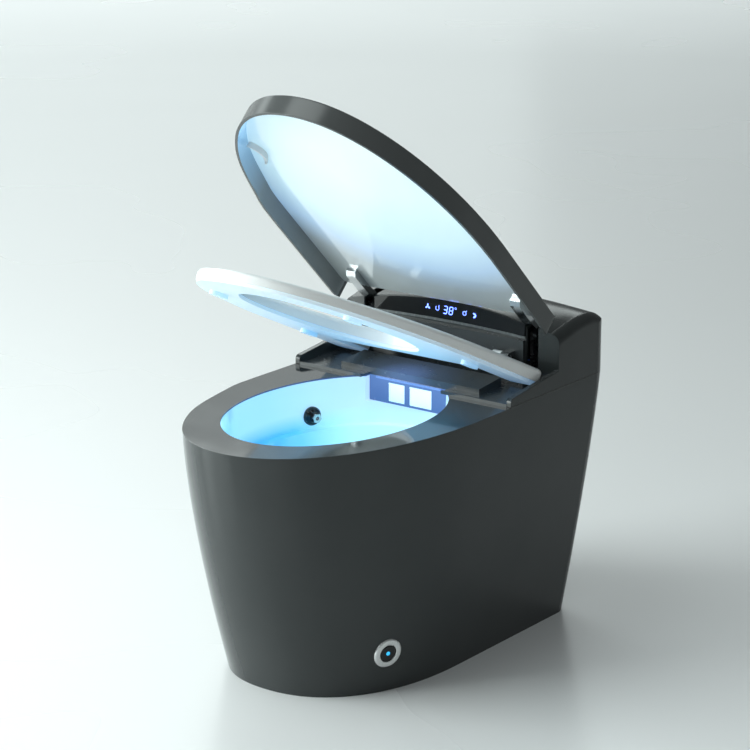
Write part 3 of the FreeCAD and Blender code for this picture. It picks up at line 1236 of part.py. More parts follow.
def foot_light():
    light = turned("foot_light", [("0", "Sizes.foot_proud - 2"), ("Sizes.foot_light",
                                                                  "Sizes.foot_proud - 2"),
                                  ("Sizes.foot_light", "Sizes.foot_proud - 0.4"), ("0",
                                                                                   "Sizes.foot_proud - 0.2")])
    light.Placement = foot_place()
    return light


SUB_PARTS = [
    *casting_parts(), *bowl_parts(), trapway(), outlet_flange(), outlet_seal(),
    chassis_tray(), chassis_screws(), rear_housing(), recess_cover(), front_apron(), bowl_light(),
    flap("nozzle_flap", "wand"), flap("dryer_flap", "air"),
    display_lens(), display_trim(), display_board(),
    lid_shell(), lid_inner_panel(), lid_arm("lid_arm_left", -1), lid_arm("lid_arm_right", 1), lid_buffers(),
    hinge_bracket("hinge_bracket_left", -1), hinge_bracket("hinge_bracket_right",
                                                           1), lid_axles(), lid_drive(),
    seat_upper(), seat_lower(), seat_bumpers(), seat_ears(), seat_hinge_pins(),
    spray_wand(), wand_tip(), wand_rail(), wand_motor(),
    dryer_duct(), dryer_blower(), deodoriser_fan(), instant_heater(), control_board(),
    water_pump(), water_inlet(), inlet_valve(), flush_valve(), power_gland(),
    foam_nozzle(), foam_nozzle_nut(), foot_bezel(), foot_button(), foot_light(),
]
doc.recompute()

for obj in doc.Objects:
    if "Invalid" in obj.State or "Error" in obj.State:
        raise RuntimeError("%s could not be built" % obj.Name)
for part in SUB_PARTS:
    part.Label = part.Name
    if part.Shape.isNull() or not part.Shape.isValid():
        raise RuntimeError("%s has no valid shape" % part.Name)

os.makedirs("parts", exist_ok=True)
for part in SUB_PARTS:
    part.Shape.exportStep("parts/%s.step" % part.Label)
    print(part.Label, len(part.Shape.Solids), round(part.Shape.Volume / 1000, 1))
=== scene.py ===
import math

import bmesh
import bpy
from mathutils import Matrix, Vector


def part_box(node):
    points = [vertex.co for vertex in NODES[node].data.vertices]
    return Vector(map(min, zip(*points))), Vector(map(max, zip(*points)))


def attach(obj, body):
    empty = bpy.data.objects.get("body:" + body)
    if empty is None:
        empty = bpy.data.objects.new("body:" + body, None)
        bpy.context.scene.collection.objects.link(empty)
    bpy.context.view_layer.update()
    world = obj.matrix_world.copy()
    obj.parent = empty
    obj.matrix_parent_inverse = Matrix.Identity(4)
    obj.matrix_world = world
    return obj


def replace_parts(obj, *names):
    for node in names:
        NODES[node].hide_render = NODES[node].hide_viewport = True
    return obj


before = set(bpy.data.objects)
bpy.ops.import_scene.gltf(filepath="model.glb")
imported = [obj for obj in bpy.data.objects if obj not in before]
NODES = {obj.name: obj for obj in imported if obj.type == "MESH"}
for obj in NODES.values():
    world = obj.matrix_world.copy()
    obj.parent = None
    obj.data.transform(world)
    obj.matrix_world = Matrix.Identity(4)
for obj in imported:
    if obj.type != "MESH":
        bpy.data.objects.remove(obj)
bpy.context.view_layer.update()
MM = 0.001
UP = (0, 0, 1)
BACKWARD = (0, 1, 0)
FORWARD_UP = (0, -1, 1)       # along the lid, from its hinge
BLACK = (0.0, 0.0, 0.0)


# node helpers

NOISE_STOPS = (0.3, 0.7)      # most noise lies between these
PATCH_STOPS = (0.35, 0.65)    # narrower, so that patches show both colours
PATCH_DETAIL, FINE_DETAIL = 4.0, 2.0
GLOSS_COARSER = 4             # gloss varies over grains this much wider than the relief's
COAT_ROUGHNESS = 0.04


def material(name):
    """A new material with its node tree and main shader."""
    mat = bpy.data.materials.new(name)
    mat.use_nodes = True
    return mat, mat.node_tree, mat.node_tree.nodes["Principled BSDF"]


def coordinates(tree, stretch=(1, 1, 1)):
    """The piece's own coordinates, stretched along its axes."""
    source = tree.nodes.new("ShaderNodeTexCoord")
    mapping = tree.nodes.new("ShaderNodeMapping")
    mapping.inputs["Scale"].default_value = stretch
    tree.links.new(source.outputs["Object"], mapping.inputs["Vector"])
    return mapping.outputs["Vector"]


def grain(tree, scale, detail=3.0, stretch=(1, 1, 1)):
    """Noise over the piece's own coordinates."""
    noise = tree.nodes.new("ShaderNodeTexNoise")
    noise.inputs["Scale"].default_value = scale
    noise.inputs["Detail"].default_value = detail
    tree.links.new(coordinates(tree, stretch), noise.inputs["Vector"])
    return noise.outputs["Fac"]


def ramp(tree, value, stops):
    """A colour ramp over a value; stops are (position, colour)."""
    node = tree.nodes.new("ShaderNodeValToRGB")
    elements = node.color_ramp.elements
    while len(elements) < len(stops):
        elements.new(0.5)
    for element, (position, colour) in zip(elements, stops):
        element.position = position
        element.color = (*colour, 1)
    tree.links.new(value, node.inputs["Fac"])
    return node.outputs["Color"]


def speckle(tree, scale, dark, light):
    """A colour that varies between two with the noise."""
    return ramp(tree, grain(tree, scale), list(zip(NOISE_STOPS, (dark, light))))


def spread(tree, value, low, high, to_low, to_high):
    """A value mapped from one range to another."""
    node = tree.nodes.new("ShaderNodeMapRange")
    sockets = ("From Min", "From Max", "To Min", "To Max")
    for socket, number in zip(sockets, (low, high, to_low, to_high)):
        node.inputs[socket].default_value = number
    tree.links.new(value, node.inputs["Value"])
    return node.outputs["Result"]


def measured(tree, operation, vector, low, high):
    """0 to 1 over a range of a vector operation on the piece's coordinates."""
    node = tree.nodes.new("ShaderNodeVectorMath")
    node.operation = operation
    node.inputs[1].default_value = vector
    tree.links.new(coordinates(tree), node.inputs[0])
    return spread(tree, node.outputs["Value"], low, high, 0, 1)


def along(tree, direction, low, high):
    """0 to 1 along a direction through the piece."""
    return measured(tree, "DOT_PRODUCT", Vector(direction).normalized(), low, high)


def around(tree, centre, low, high):
    """0 to 1 with the distance from a point of the piece."""
    return measured(tree, "DISTANCE", centre, low, high)


def bumped(tree, shader, height, strength, distance, edge):
    """Surface relief from a height value, over edges that catch the light."""
    node = tree.nodes.new("ShaderNodeBump")
    node.inputs["Strength"].default_value = strength
    node.inputs["Distance"].default_value = distance
    tree.links.new(height, node.inputs["Height"])
    tree.links.new(node.outputs["Normal"], shader.inputs["Normal"])
    if edge:
        rounding = tree.nodes.new("ShaderNodeBevel")
        rounding.inputs["Radius"].default_value = edge
        tree.links.new(rounding.outputs["Normal"], node.inputs["Normal"])


def blended(tree, share, first, second):
    """One colour turning into another with a share from 0 to 1."""
    node = tree.nodes.new("ShaderNodeMix")
    node.data_type = "RGBA"
    tree.links.new(share, node.inputs["Factor"])
    tree.links.new(first, node.inputs["A"])
    tree.links.new(second, node.inputs["B"])
    return node.outputs["Result"]


# finishes

MATERIALS = {}


def finish(name, dark, light, rough, patch, fine, relief, depth, edge=0.0, metal=0.0, coat=0.0,
           gloss=0.5, stretch=(1, 1, 1)):
    """A finish whose colour, gloss and relief all vary a little over the piece.

    patch and fine are grains per metre, for the colour and the relief; rough is a range.
    """
    mat, tree, shader = material(name)
    colour = ramp(tree, grain(tree, patch, PATCH_DETAIL, stretch),
                  list(zip(PATCH_STOPS, (dark, light))))
    tree.links.new(colour, shader.inputs["Base Color"])
    smear = grain(tree, fine / GLOSS_COARSER, FINE_DETAIL, stretch)
    tree.links.new(spread(tree, smear, *NOISE_STOPS, *rough), shader.inputs["Roughness"])
    bumped(tree, shader, grain(tree, fine, FINE_DETAIL, stretch), relief, depth, edge)
    shader.inputs["Metallic"].default_value = metal
    shader.inputs["Specular IOR Level"].default_value = gloss
    shader.inputs["Coat Weight"].default_value = coat
    shader.inputs["Coat Roughness"].default_value = COAT_ROUGHNESS
    MATERIALS[name] = mat
    return mat


GLAZE = dict(patch=6, fine=60, relief=0.01, depth=0.4 * MM)
# the skirt's glaze is painted paler than the same glaze on the rim's top, a lit copy that stands
# in for light on the flank
finish("glaze_dark", (0.038, 0.0425, 0.043), (0.042, 0.0465, 0.047), (0.10, 0.14),
       gloss=0.32, **GLAZE)
finish("glaze_rim", (0.016, 0.0185, 0.019), (0.020, 0.0225, 0.023), (0.06, 0.10),
       gloss=1.0, edge=2.0 * MM, **GLAZE)
# the rim's inner edge: the glaze tinted blue, painted lamp light
finish("glaze_lip", (0.012, 0.016, 0.026), (0.016, 0.021, 0.034), (0.10, 0.14), **GLAZE)
# the bowl's glaze is tinted blue, painted lamp light
finish("glaze_bowl", (0.20, 0.47, 0.62), (0.24, 0.51, 0.65), (0.06, 0.12), coat=0.3, **GLAZE)
finish("glaze_back", (0.42, 0.43, 0.43), (0.50, 0.51, 0.51), (0.30, 0.45),
       patch=10, fine=90, relief=0.05, depth=0.4 * MM)

MOULDED = dict(patch=9, fine=300, depth=0.08 * MM)
# the lid's shell is painted paler than the housing's same dark plastic, a lit copy that stands
# in for light on the lid's sides
finish("shell", (0.072, 0.077, 0.077), (0.078, 0.083, 0.083), (0.20, 0.23),
       relief=0.005, edge=1.5 * MM, **MOULDED)
finish("housing", (0.027, 0.031, 0.031), (0.032, 0.036, 0.036), (0.18, 0.22),
       relief=0.006, edge=1.5 * MM, gloss=0.4, **MOULDED)
# the lid's inner walls: a paler, lit copy of the shell, painted light
finish("shell_inside", (0.20, 0.22, 0.225), (0.23, 0.25, 0.255), (0.12, 0.2),
       relief=0.015, **MOULDED)
finish("cover", (0.036, 0.040, 0.041), (0.042, 0.046, 0.047), (0.20, 0.28),
       relief=0.012, **MOULDED)
# the apron's blue tint is painted lamp light
finish("apron", (0.05, 0.065, 0.10), (0.06, 0.08, 0.12), (0.20, 0.28),
       relief=0.012, **MOULDED)
finish("panel", (0.49, 0.525, 0.525), (0.52, 0.555, 0.555), (0.02, 0.04),
       patch=5, fine=120, relief=0.002, depth=0.2 * MM, coat=0.6, gloss=0.8)

SEAT = dict(fine=300, depth=0.1 * MM)
finish("seat", (0.86, 0.875, 0.87), (0.89, 0.905, 0.90), (0.16, 0.22),
       patch=8, relief=0.012, edge=1.5 * MM, **SEAT)
# the seat's underside: a blue-tinted copy of the seat's white, painted lamp light
finish("seat_under", (0.74, 0.79, 0.81), (0.78, 0.83, 0.85), (0.42, 0.46),
       patch=12, relief=0.004, **SEAT)

SOFT = dict(patch=60, depth=0.1 * MM)
# the seat's bumpers: their blue is painted lamp light
finish("pad", (0.50, 0.66, 0.76), (0.56, 0.72, 0.82), (0.35, 0.5),
       fine=600, relief=0.03, **SOFT)
finish("rubber", (0.16, 0.165, 0.17), (0.22, 0.225, 0.23), (0.55, 0.7),
       fine=1500, relief=0.2, **SOFT)

POLISHED = dict(patch=20, fine=400, depth=0.06 * MM)
finish("lens_black", (0.0015, 0.0017, 0.002), (0.0025, 0.0028, 0.003), (0.03, 0.05),
       relief=0.01, gloss=0.3, **POLISHED)
finish("gloss_black", (0.004, 0.0045, 0.005), (0.007, 0.008, 0.009), (0.04, 0.08),
       relief=0.015, edge=0.8 * MM, **POLISHED)
finish("trim_grey", (0.10, 0.11, 0.11), (0.13, 0.14, 0.14), (0.2, 0.3),
       patch=40, fine=900, relief=0.06, depth=0.06 * MM)

METAL = dict(metal=1.0, depth=0.06 * MM)
finish("chrome", (0.46, 0.48, 0.49), (0.54, 0.56, 0.57), (0.08, 0.14),
       patch=40, fine=500, relief=0.03, edge=1.0 * MM, **METAL)
finish("brushed", (0.78, 0.79, 0.79), (0.88, 0.89, 0.89), (0.16, 0.24),
       patch=300, fine=1800, relief=0.05, edge=2.5 * MM, stretch=(1, 1, 0.12), **METAL)
finish("steel", (0.45, 0.46, 0.47), (0.58, 0.59, 0.60), (0.22, 0.38),
       patch=80, fine=1200, relief=0.1, stretch=(0.15, 1, 1), **METAL)
finish("brass", (0.52, 0.36, 0.14), (0.64, 0.46, 0.20), (0.22, 0.38),
       patch=80, fine=1200, relief=0.1, **METAL)

PLASTIC = dict(patch=15, fine=800, depth=0.1 * MM)
finish("plastic_white", (0.70, 0.71, 0.70), (0.78, 0.79, 0.78), (0.3, 0.42),
       relief=0.1, **PLASTIC)
finish("plastic_grey", (0.20, 0.205, 0.21), (0.26, 0.265, 0.27), (0.35, 0.5),
       relief=0.12, **PLASTIC)
finish("plastic_black", (0.012, 0.012, 0.013), (0.022, 0.022, 0.023), (0.35, 0.5),
       relief=0.12, **PLASTIC)
finish("board", (0.008, 0.09, 0.045), (0.015, 0.13, 0.065), (0.3, 0.45),
       patch=220, fine=900, relief=0.2, depth=0.1 * MM)

LAMP = dict(fine=700, relief=0.05, depth=0.06 * MM)
# the flaps are no lamp: their glow is painted lamp light
finish("lamp_lit_flaps", (0.70, 0.76, 0.78), (0.76, 0.82, 0.84), (0.25, 0.35), patch=30, **LAMP)
finish("glow_bar", (0.10, 0.16, 0.30), (0.14, 0.20, 0.36), (0.25, 0.35), patch=30, **LAMP)
finish("glow_cyan", (0.04, 0.30, 0.50), (0.06, 0.36, 0.56), (0.2, 0.3), patch=60, **LAMP)
finish("glow_digit", (0.10, 0.16, 0.40), (0.14, 0.22, 0.50), (0.3, 0.4), patch=60, **LAMP)


# lamps, and their light painted as a glow on the surfaces near them

BOWL_RUN = (0.15, 1, 0)             # a little to the right, then back
PANEL_LIGHT = (0.03, -0.06, 0.72)
BOWL_LAMP = (-0.01, 0.098, 0.372)


def lit(mat, colour, strength):
    """Gives a finish a glow whose colour varies over the piece: used for the lamps, and for
    painted lamp light on the surfaces near them.
    """
    tree = mat.node_tree
    shader = tree.nodes["Principled BSDF"]
    tree.links.new(colour(tree), shader.inputs["Emission Color"])
    shader.inputs["Emission Strength"].default_value = strength
    return mat


def bowl_painted_light(tree):
    """Painted lamp light on the bowl: sky blue on the upper wall; low down deep blue in front,
    turning to ice at the back.
    """
    low = ramp(tree, along(tree, BOWL_RUN, low=-0.14, high=0.10),
               [(0.0, (0.0, 0.16, 0.46)), (0.45, (0.02, 0.27, 0.56)),
                (0.8, (0.36, 0.66, 0.60)), (1.0, (0.46, 0.68, 0.62))])
    high = ramp(tree, along(tree, BOWL_RUN, low=-0.25, high=0.10),
                [(0.0, (0.20, 0.42, 0.56)), (0.5, (0.26, 0.46, 0.58)),
                 (1.0, (0.44, 0.54, 0.62))])
    return blended(tree, along(tree, UP, low=0.308, high=0.332), low, high)


def lip_painted_light(tree):
    """Painted deep blue lamp light on the rim's inner edge, stronger at the back."""
    return ramp(tree, along(tree, BACKWARD, low=-0.30, high=0.13),
                [(0, (0.014, 0.045, 0.14)), (1, (0.03, 0.08, 0.26))])


def panel_painted_light(tree):
    """Painted lamp light and reflection on the lid's panel: white in the middle, blue around
    that, nothing near the hinge.
    """
    return ramp(tree, around(tree, PANEL_LIGHT, low=0.06, high=0.36),
                [(0.0, (0.38, 0.50, 0.53)), (0.42, (0.27, 0.44, 0.54)),
                 (0.64, (0.11, 0.23, 0.40)), (0.82, (0.02, 0.03, 0.05)), (0.94, BLACK)])


def lid_wall_painted_light(tree):
    """Painted blue lamp light on the bow of the lid's inner wall."""
    return ramp(tree, along(tree, FORWARD_UP, low=0.33, high=0.66),
                [(0.45, BLACK), (0.9, (0.10, 0.28, 0.50))])


def seat_painted_light(tree):
    """Painted blue lamp light under the seat that grows towards its front."""
    return ramp(tree, along(tree, (0, -1, 0.5), low=-0.05, high=0.45),
                [(0.0, (0.03, 0.08, 0.16)), (0.5, (0.08, 0.16, 0.25)),
                 (1.0, (0.16, 0.24, 0.30))])


def cover_painted_light(tree):
    """A painted pool of dim blue lamp light on the plinth near the lamp."""
    return ramp(tree, around(tree, BOWL_LAMP, low=0.02, high=0.10),
                [(0.0, (0.05, 0.10, 0.25)), (0.45, (0.010, 0.022, 0.05)), (1.0, BLACK)])


def apron_painted_light(tree):
    """Painted blue lamp light over the whole apron, fading downwards."""
    return ramp(tree, along(tree, UP, low=0.335, high=0.385),
                [(0.0, (0.04, 0.10, 0.32)), (1.0, (0.075, 0.155, 0.42))])


def flap_painted_light(tree):
    """Painted lamp light on the two flaps: white, bluer at the foot."""
    return ramp(tree, along(tree, UP, low=0.340, high=0.374),
                [(0, (0.20, 0.38, 0.46)), (1, (0.32, 0.44, 0.48))])


def bar_glow(tree):
    """The light bar over the windows."""
    return speckle(tree, scale=40, dark=(0.07, 0.15, 0.42), light=(0.09, 0.18, 0.48))


def button_glow(tree):
    """The lamp in the foot button."""
    return speckle(tree, scale=300, dark=(0.02, 0.42, 0.85), light=(0.04, 0.55, 0.95))


def digit_glow(tree):
    """The figures and signs of the display."""
    return speckle(tree, scale=60, dark=(0.10, 0.17, 0.85), light=(0.13, 0.21, 1.0))


# the lamps' own glow, and painted lamp light on the bowl, rim, lid, seat, plinth, apron and
# flaps
GLOWS = {
    "glaze_bowl": (bowl_painted_light, 1.0),
    "glaze_lip": (lip_painted_light, 1.0),
    "panel": (panel_painted_light, 1.0),
    "shell_inside": (lid_wall_painted_light, 1.0),
    "seat_under": (seat_painted_light, 1.0),
    "pad": (seat_painted_light, 1.6),
    "cover": (cover_painted_light, 1.0),
    "apron": (apron_painted_light, 1.0),
    "lamp_lit_flaps": (flap_painted_light, 1.0),
    "glow_bar": (bar_glow, 1.0),
    "glow_cyan": (button_glow, 1.0),
    "glow_digit": (digit_glow, 4.5),
}
for key, (colour, strength) in GLOWS.items():
    lit(MATERIALS[key], colour, strength)


# painted shade in the seam between the housing and the casting

SEAM_WIDTH = 2.6 * MM
SEAM_FADE = (0.6, 0.9)        # shares of that width, from the gap to the finish
SEAM_DARK, SEAM_LIGHT = (0.001, 0.001, 0.001), (0.003, 0.003, 0.003)


def seam_shade(mat, height):
    """Darkens a finish along its lower edge with painted shade, for the gap where it meets what
    is under it.
    """
    tree = mat.node_tree
    shader = tree.nodes["Principled BSDF"]
    finished = shader.inputs["Base Color"].links[0].from_socket
    gap = speckle(tree, scale=90, dark=SEAM_DARK, light=SEAM_LIGHT)
    share = spread(tree, along(tree, UP, height, height + SEAM_WIDTH), *SEAM_FADE, 0, 1)
    tree.links.new(blended(tree, share, gap, finished), shader.inputs["Base Color"])


seam_shade(MATERIALS["housing"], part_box("rear_housing")[0].z)


# materials of the CAD nodes

PLAIN = {
    "glaze_dark": ["ceramic_skirt", "ceramic_well"],
    "housing": ["rear_housing"],
    "cover": ["recess_cover", "seat_ears"],
    "apron": ["front_apron"],
    "panel": ["lid_inner_panel"],
    "seat": ["seat_upper"],
    "seat_under": ["seat_lower"],
    "chrome": ["foam_nozzle_nut", "lid_axles", "lid_arm_left", "lid_arm_right"],
    "brushed": ["foot_bezel"],
    "lens_black": ["display_lens"],
    "gloss_black": ["foot_button", "foam_nozzle"],
    "trim_grey": ["display_trim"],
    "rubber": ["outlet_seal"],
    "pad": ["seat_bumpers"],
    "lamp_lit_flaps": ["nozzle_flap", "dryer_flap"],
    "glow_bar": ["bowl_light"],
    "glow_cyan": ["foot_light"],
    "plastic_white": ["trapway", "outlet_flange", "instant_heater", "wand_tip", "lid_buffers"],
    "plastic_grey": ["chassis_tray", "wand_rail", "dryer_duct", "inlet_valve", "flush_valve"],
    "plastic_black": ["dryer_blower", "deodoriser_fan", "power_gland", "water_pump"],
    "steel": ["chassis_screws", "hinge_bracket_left", "hinge_bracket_right", "lid_drive",
              "seat_hinge_pins", "spray_wand", "wand_motor"],
    "brass": ["water_inlet"],
    "board": ["display_board", "control_board"],
}


def coat_node(name, *materials):
    """Gives a CAD node its materials, the first one everywhere."""
    slots = NODES[name].data.materials
    slots.clear()
    for key in materials:
        slots.append(MATERIALS[key])
    for polygon in NODES[name].data.polygons:
        polygon.material_index = 0


for key, names in PLAIN.items():
    for name in names:
        coat_node(name, key)

BOWL_MIDDLE = Vector((0, -0.08, 0.38))
FACES_UP, STEEP = 0.9, 0.5        # upward share of a polygon's normal: at least, at most


def facing(polygon, point):
    """More than 0 where a polygon looks towards a point."""
    return polygon.normal.dot(point - polygon.center)


# the rim has a glossy flat top, and an edge to the bowl with the bowl lamps' light painted on it
coat_node("ceramic_rim", "glaze_dark", "glaze_rim", "glaze_lip")
for polygon in NODES["ceramic_rim"].data.polygons:
    if polygon.normal.z > FACES_UP:
        polygon.material_index = 1
    elif abs(polygon.normal.z) < STEEP and facing(polygon, BOWL_MIDDLE) > 0:
        polygon.material_index = 2

# the lamps' light is painted only on the inner side of the bowl
for name in ("bowl_wall", "bowl_basin", "bowl_sump"):
    coat_node(name, "glaze_bowl", "glaze_back")
    for polygon in NODES[name].data.polygons:
        polygon.material_index = 1 if facing(polygon, BOWL_MIDDLE) < 0 else 0

# the lid's shell is dark outside; the walls around its panel, apart from the wall at the hinge,
# get a paler grey: a lit copy of the shell with painted lamp light
LID_TILT = math.radians(44.45)
LID_NORMAL = Vector((0, math.sin(LID_TILT), math.cos(LID_TILT)))
LID_WALL = 0.1                # share of a wall's normal that is square to the lid: at most
HINGE_WALL = 0.9              # reach of the hinge wall's normal along the lid: at least
coat_node("lid_shell", "shell", "shell_inside")
lid_middle = sum((Vector(corner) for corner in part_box("lid_inner_panel")), Vector()) / 2
for polygon in NODES["lid_shell"].data.polygons:
    wall = abs(polygon.normal.dot(LID_NORMAL)) < LID_WALL
    at_hinge = polygon.normal.dot(FORWARD_UP) >= HINGE_WALL
    inner = wall and facing(polygon, lid_middle) > 0 and not at_hinge
    polygon.material_index = 1 if inner else 0


def piece(name, mesh, body, mat):
    """A new piece of the part from a bmesh."""
    data = bpy.data.meshes.new(name)
    mesh.normal_update()
    mesh.to_mesh(data)
    mesh.free()
    obj = bpy.data.objects.new(name, data)
    bpy.context.scene.collection.objects.link(obj)
    obj.data.materials.append(MATERIALS[mat])
    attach(obj, body)
    return obj


# figures and signs of the display

LENS_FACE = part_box("display_lens")[0].y
MARK_PROUD = 0.3 * MM
SEGMENTS = {"3": "abgcd", "8": "abcdefg"}
DIGITS = (("3", -9.0 * MM), ("8", 1.4 * MM))        # figure, left edge
DIGIT_LOW = 464.4 * MM
DIGIT_WIDTH, DIGIT_HEIGHT, DIGIT_BAR = 6.2 * MM, 11.5 * MM, 1.5 * MM
DIGIT_LEAN = 0.18
BAR_SHOULDER = 0.6            # of a bar's width, from the digit's corner to where it is full
RING_STEPS, OVAL_STEPS = 28, 20

SIGN_LEVEL = 470.6 * MM
# middle x, height over the level, radius, bar (mm); start, turn (degrees)
RINGS = [
    (14.0, 4.4, 1.7, 0.7, 0, 360),        # degree sign
    (-20.0, 0.0, 3.6, 0.9, 120, 290),     # open ring
    (30.5, -0.4, 3.4, 0.9, 0, 360),       # closed ring
    (48.0, -1.0, 3.9, 2.6, -110, 230),    # broad arc
]
# middle x, height over the level, width, height (mm); turn (degrees)
OVALS = [
    (-17.2, 3.4, 3.4, 1.1, 50),           # stroke on the open ring
    (33.6, 3.0, 3.4, 1.1, 45),            # stroke on the closed ring
]
FAN_MIDDLE, FAN_REACH, FAN_TURNS = -38.0, 2.6, (90, 210, 330)
FAN_BLADE = (4.4, 2.4)


def plate(mesh, points):
    """A flat shape from (x, z) points that stands proud of the lens."""
    front = [mesh.verts.new((x, LENS_FACE - MARK_PROUD, z)) for x, z in points]
    back = [mesh.verts.new((x, LENS_FACE, z)) for x, z in points]
    mesh.faces.new(front)
    mesh.faces.new(list(reversed(back)))
    for index in range(len(points)):
        following = (index + 1) % len(points)
        mesh.faces.new((front[index], back[index], back[following], front[following]))


def segment_bar(start, end):
    """The pointed outline of one bar of a digit."""
    a, b = Vector(start), Vector(end)
    run = (b - a).normalized()
    side = Vector((-run.y, run.x)) * DIGIT_BAR / 2
    a, b = a + run * DIGIT_BAR * BAR_SHOULDER, b - run * DIGIT_BAR * BAR_SHOULDER
    tip = run * DIGIT_BAR / 2
    return [a - tip, a - side, b - side, b + tip, b + side, a + side]


def digit(mesh, figure, left):
    """One slanted seven-bar figure."""
    width, height, half = DIGIT_WIDTH, DIGIT_HEIGHT, DIGIT_HEIGHT / 2
    corners = {"tl": (0, height), "tr": (width, height), "ml": (0, half), "mr": (width, half),
               "bl": (0, 0), "br": (width, 0)}
    bars = {"a": ("tl", "tr"), "b": ("mr", "tr"), "c": ("br", "mr"), "d": ("bl", "br"),
            "e": ("bl", "ml"), "f": ("ml", "tl"), "g": ("ml", "mr")}
    for name in SEGMENTS[figure]:
        start, end = (corners[key] for key in bars[name])
        plate(mesh, [(left + p.x + p.y * DIGIT_LEAN, DIGIT_LOW + p.y)
                     for p in segment_bar(start, end)])


def ring(mesh, x, z, radius, bar, start, turn):
    """A ring, or part of one, as a band of short plates."""
    for step in range(RING_STEPS):
        a, b = (math.radians(start + turn * k / RING_STEPS) for k in (step, step + 1))
        inner = radius - bar
        plate(mesh, [(x + r * math.cos(t), z + r * math.sin(t))
                     for r, t in ((radius, a), (radius, b), (inner, b), (inner, a))])


def oval(mesh, x, z, wide, tall, turn):
    """A filled oval, turned."""
    c, s = math.cos(math.radians(turn)), math.sin(math.radians(turn))
    points = []
    for step in range(OVAL_STEPS):
        t = 2 * math.pi * step / OVAL_STEPS
        u, v = wide / 2 * math.cos(t), tall / 2 * math.sin(t)
        points.append((x + u * c - v * s, z + u * s + v * c))
    plate(mesh, points)


def display_marks():
    """Two figures, a degree sign and four plain signs on the lens."""
    mesh = bmesh.new()
    for figure, left in DIGITS:
        digit(mesh, figure, left)
    for x, level, radius, bar, start, turn in RINGS:
        ring(mesh, x * MM, SIGN_LEVEL + level * MM, radius * MM, bar * MM, start, turn)
    blades = [(FAN_MIDDLE + FAN_REACH * math.cos(math.radians(turn)),
               FAN_REACH * math.sin(math.radians(turn)), *FAN_BLADE, turn) for turn in FAN_TURNS]
    for x, level, wide, tall, turn in blades + OVALS:
        oval(mesh, x * MM, SIGN_LEVEL + level * MM, wide * MM, tall * MM, turn)
    piece("display_marks", mesh, "base", "glow_digit")


display_marks()


# curved tabs inside the lid's rim

LID_RUN = Vector((0, LID_NORMAL.z, -LID_NORMAL.y))
TAB_LENGTH, TAB_THICK, TAB_BULGE, TAB_STEPS = 52 * MM, 4 * MM, 15 * MM, 20
TAB_DEEP, TAB_SHALLOW = 9 * MM, 3.5 * MM
TAB_SKEW = 0.8                # below 1 the bow is fullest before the middle
TAB_CREASE = math.radians(40)


def lid_tabs():
    """Two bowed fins on the lid's panel, deep at the front and running out at the rear."""
    mesh = bmesh.new()
    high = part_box("lid_buffers")[1]
    start = Vector((0, high.y - LID_RUN.y * TAB_LENGTH, high.z))
    for side in (1, -1):
        rows = []
        for step in range(TAB_STEPS + 1):
            t = step / TAB_STEPS
            outer = high.x - TAB_BULGE * math.sin(math.pi * t ** TAB_SKEW)
            inner = outer - TAB_THICK
            root = start + LID_RUN * TAB_LENGTH * t
            free = root - LID_NORMAL * (TAB_DEEP + (TAB_SHALLOW - TAB_DEEP) * t * t)
            section = ((inner, root), (inner, free), (outer, free), (outer, root))
            rows.append([mesh.verts.new((side * x, spot.y, spot.z)) for x, spot in section])
        for first, second in zip(rows, rows[1:]):
            for k in range(4):
                following = (k + 1) % 4
                face = mesh.faces.new((first[k], first[following], second[following], second[k]))
                face.smooth = True
        mesh.faces.new(rows[0])
        mesh.faces.new(rows[-1])
    bmesh.ops.recalc_face_normals(mesh, faces=mesh.faces)
    for edge in mesh.edges:
        edge.smooth = edge.calc_face_angle(0) < TAB_CREASE
    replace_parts(piece("lid_tabs", mesh, "lid", "plastic_white"), "lid_buffers")


lid_tabs()


# floor

FLOOR_RADIUS, FLOOR_SIDES = 16.0, 96
FLOOR_GLOW = (0.42, 0.45, 0.45)
FLOOR_GLOW_FROM, FLOOR_GLOW_TO = 5.5, 13.0


def distant_glow(tree):
    """Grows with the distance, so that the floor meets a pale background."""
    return ramp(tree, around(tree, (0, 0, 0), FLOOR_GLOW_FROM, FLOOR_GLOW_TO),
                [(0, BLACK), (1, FLOOR_GLOW)])


def floor():
    """A wide pale disc under the part."""
    mesh = bmesh.new()
    bmesh.ops.create_circle(mesh, cap_ends=True, segments=FLOOR_SIDES, radius=FLOOR_RADIUS)
    data = bpy.data.meshes.new("floor")
    mesh.to_mesh(data)
    mesh.free()
    obj = bpy.data.objects.new("floor", data)
    bpy.context.scene.collection.objects.link(obj)
    pale = finish("floor", (0.865, 0.875, 0.875), (0.875, 0.885, 0.885), (0.26, 0.28),
                  patch=0.4, fine=4, relief=0.001, depth=0.5 * MM, gloss=0.35)
    obj.data.materials.append(lit(pale, distant_glow, 1.0))


floor()


# light

LIGHT_COLOUR = (0.91, 1.0, 0.99)
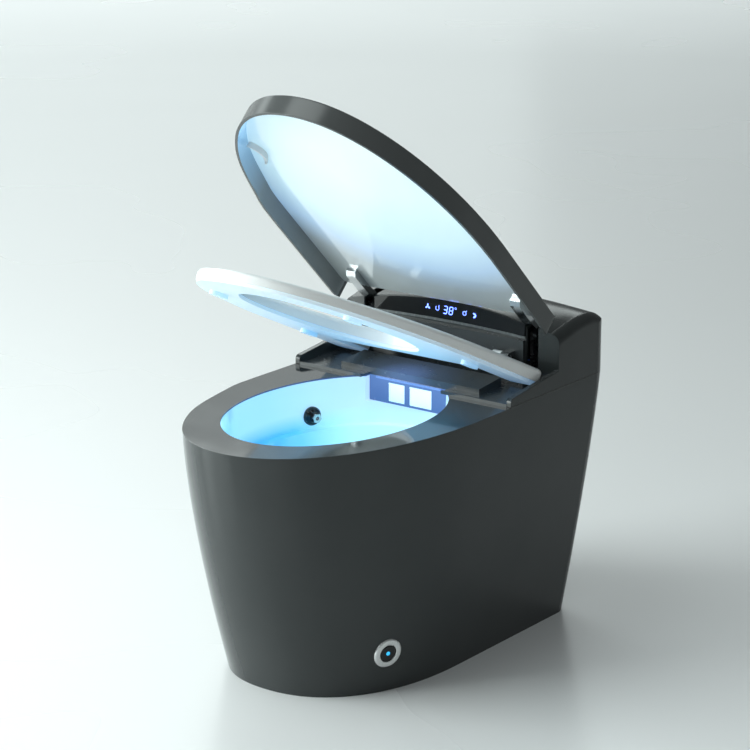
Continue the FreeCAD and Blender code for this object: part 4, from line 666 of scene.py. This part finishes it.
# name, place, target, size (m), power (W)
LIGHTS = [
    ("key", (-3.0, -2.9, 1.35), (0, 0, 0.3), (3.0, 2.2), 225),
    ("left", (-6.2, -1.0, 2.4), (0, -0.3, 0.3), (5.0, 3.4), 110),
    ("top", (-0.9, -1.3, 3.4), (-0.1, -0.2, 0.4), (2.0, 2.0), 36),
    ("fill", (1.7, -3.4, 1.9), (0, 0, 0.4), (2.0, 2.0), 20),
    ("far_floor", (-6.4, 5.6, 4.5), (-6.4, 5.6, 0), (7.0, 7.0), 345),
    ("backdrop", (-6.4, 5.0, 2.2), (0, 0, 0.6), (6.0, 3.0), 34),
]
SKY_LIGHT, SKY_STRENGTH = (0.92, 0.985, 1.0, 1), 0.17
BACKGROUND, BACKGROUND_STRENGTH = (0.82, 0.865, 0.865, 1), 0.75


def aim(obj, place, target):
    """Puts a light or camera in its place, turned to what it looks at."""
    obj.location = place
    obj.rotation_euler = (Vector(target) - Vector(place)).to_track_quat("-Z", "Y").to_euler()
    bpy.context.scene.collection.objects.link(obj)


def area_light(name, place, target, size, power):
    """A soft light that isn't seen itself."""
    data = bpy.data.lights.new(name, "AREA")
    data.shape = "RECTANGLE"
    data.size, data.size_y = size
    data.energy = power
    data.color = LIGHT_COLOUR
    obj = bpy.data.objects.new(name, data)
    obj.visible_camera = False
    aim(obj, place, target)


def studio():
    """Dim light from all around; the plain background that is seen is paler."""
    world = bpy.data.worlds.new("studio")
    world.use_nodes = True
    tree = world.node_tree
    ambient = tree.nodes["Background"]
    ambient.inputs["Color"].default_value = SKY_LIGHT
    ambient.inputs["Strength"].default_value = SKY_STRENGTH
    seen = tree.nodes.new("ShaderNodeBackground")
    seen.inputs["Color"].default_value = BACKGROUND
    seen.inputs["Strength"].default_value = BACKGROUND_STRENGTH
    path = tree.nodes.new("ShaderNodeLightPath")
    sky = tree.nodes.new("ShaderNodeMixShader")
    tree.links.new(path.outputs["Is Camera Ray"], sky.inputs["Fac"])
    tree.links.new(ambient.outputs["Background"], sky.inputs[1])
    tree.links.new(seen.outputs["Background"], sky.inputs[2])
    tree.links.new(sky.outputs["Shader"], tree.nodes["World Output"].inputs["Surface"])
    bpy.context.scene.world = world
    bpy.context.scene.view_settings.view_transform = "Standard"


for light in LIGHTS:
    area_light(*light)
studio()


# camera

CAMERA_PLACE = (2.3094, -3.0345, 1.5041)
CAMERA_TARGET = (0.00804, 0.00608, 0.4139)
CAMERA_SENSOR, CAMERA_LENS = 36, 129.88        # mm

camera_data = bpy.data.cameras.new("camera")
camera_data.sensor_width = CAMERA_SENSOR
camera_data.lens = CAMERA_LENS
camera = bpy.data.objects.new("camera", camera_data)
aim(camera, CAMERA_PLACE, CAMERA_TARGET)
bpy.context.scene.camera = camera
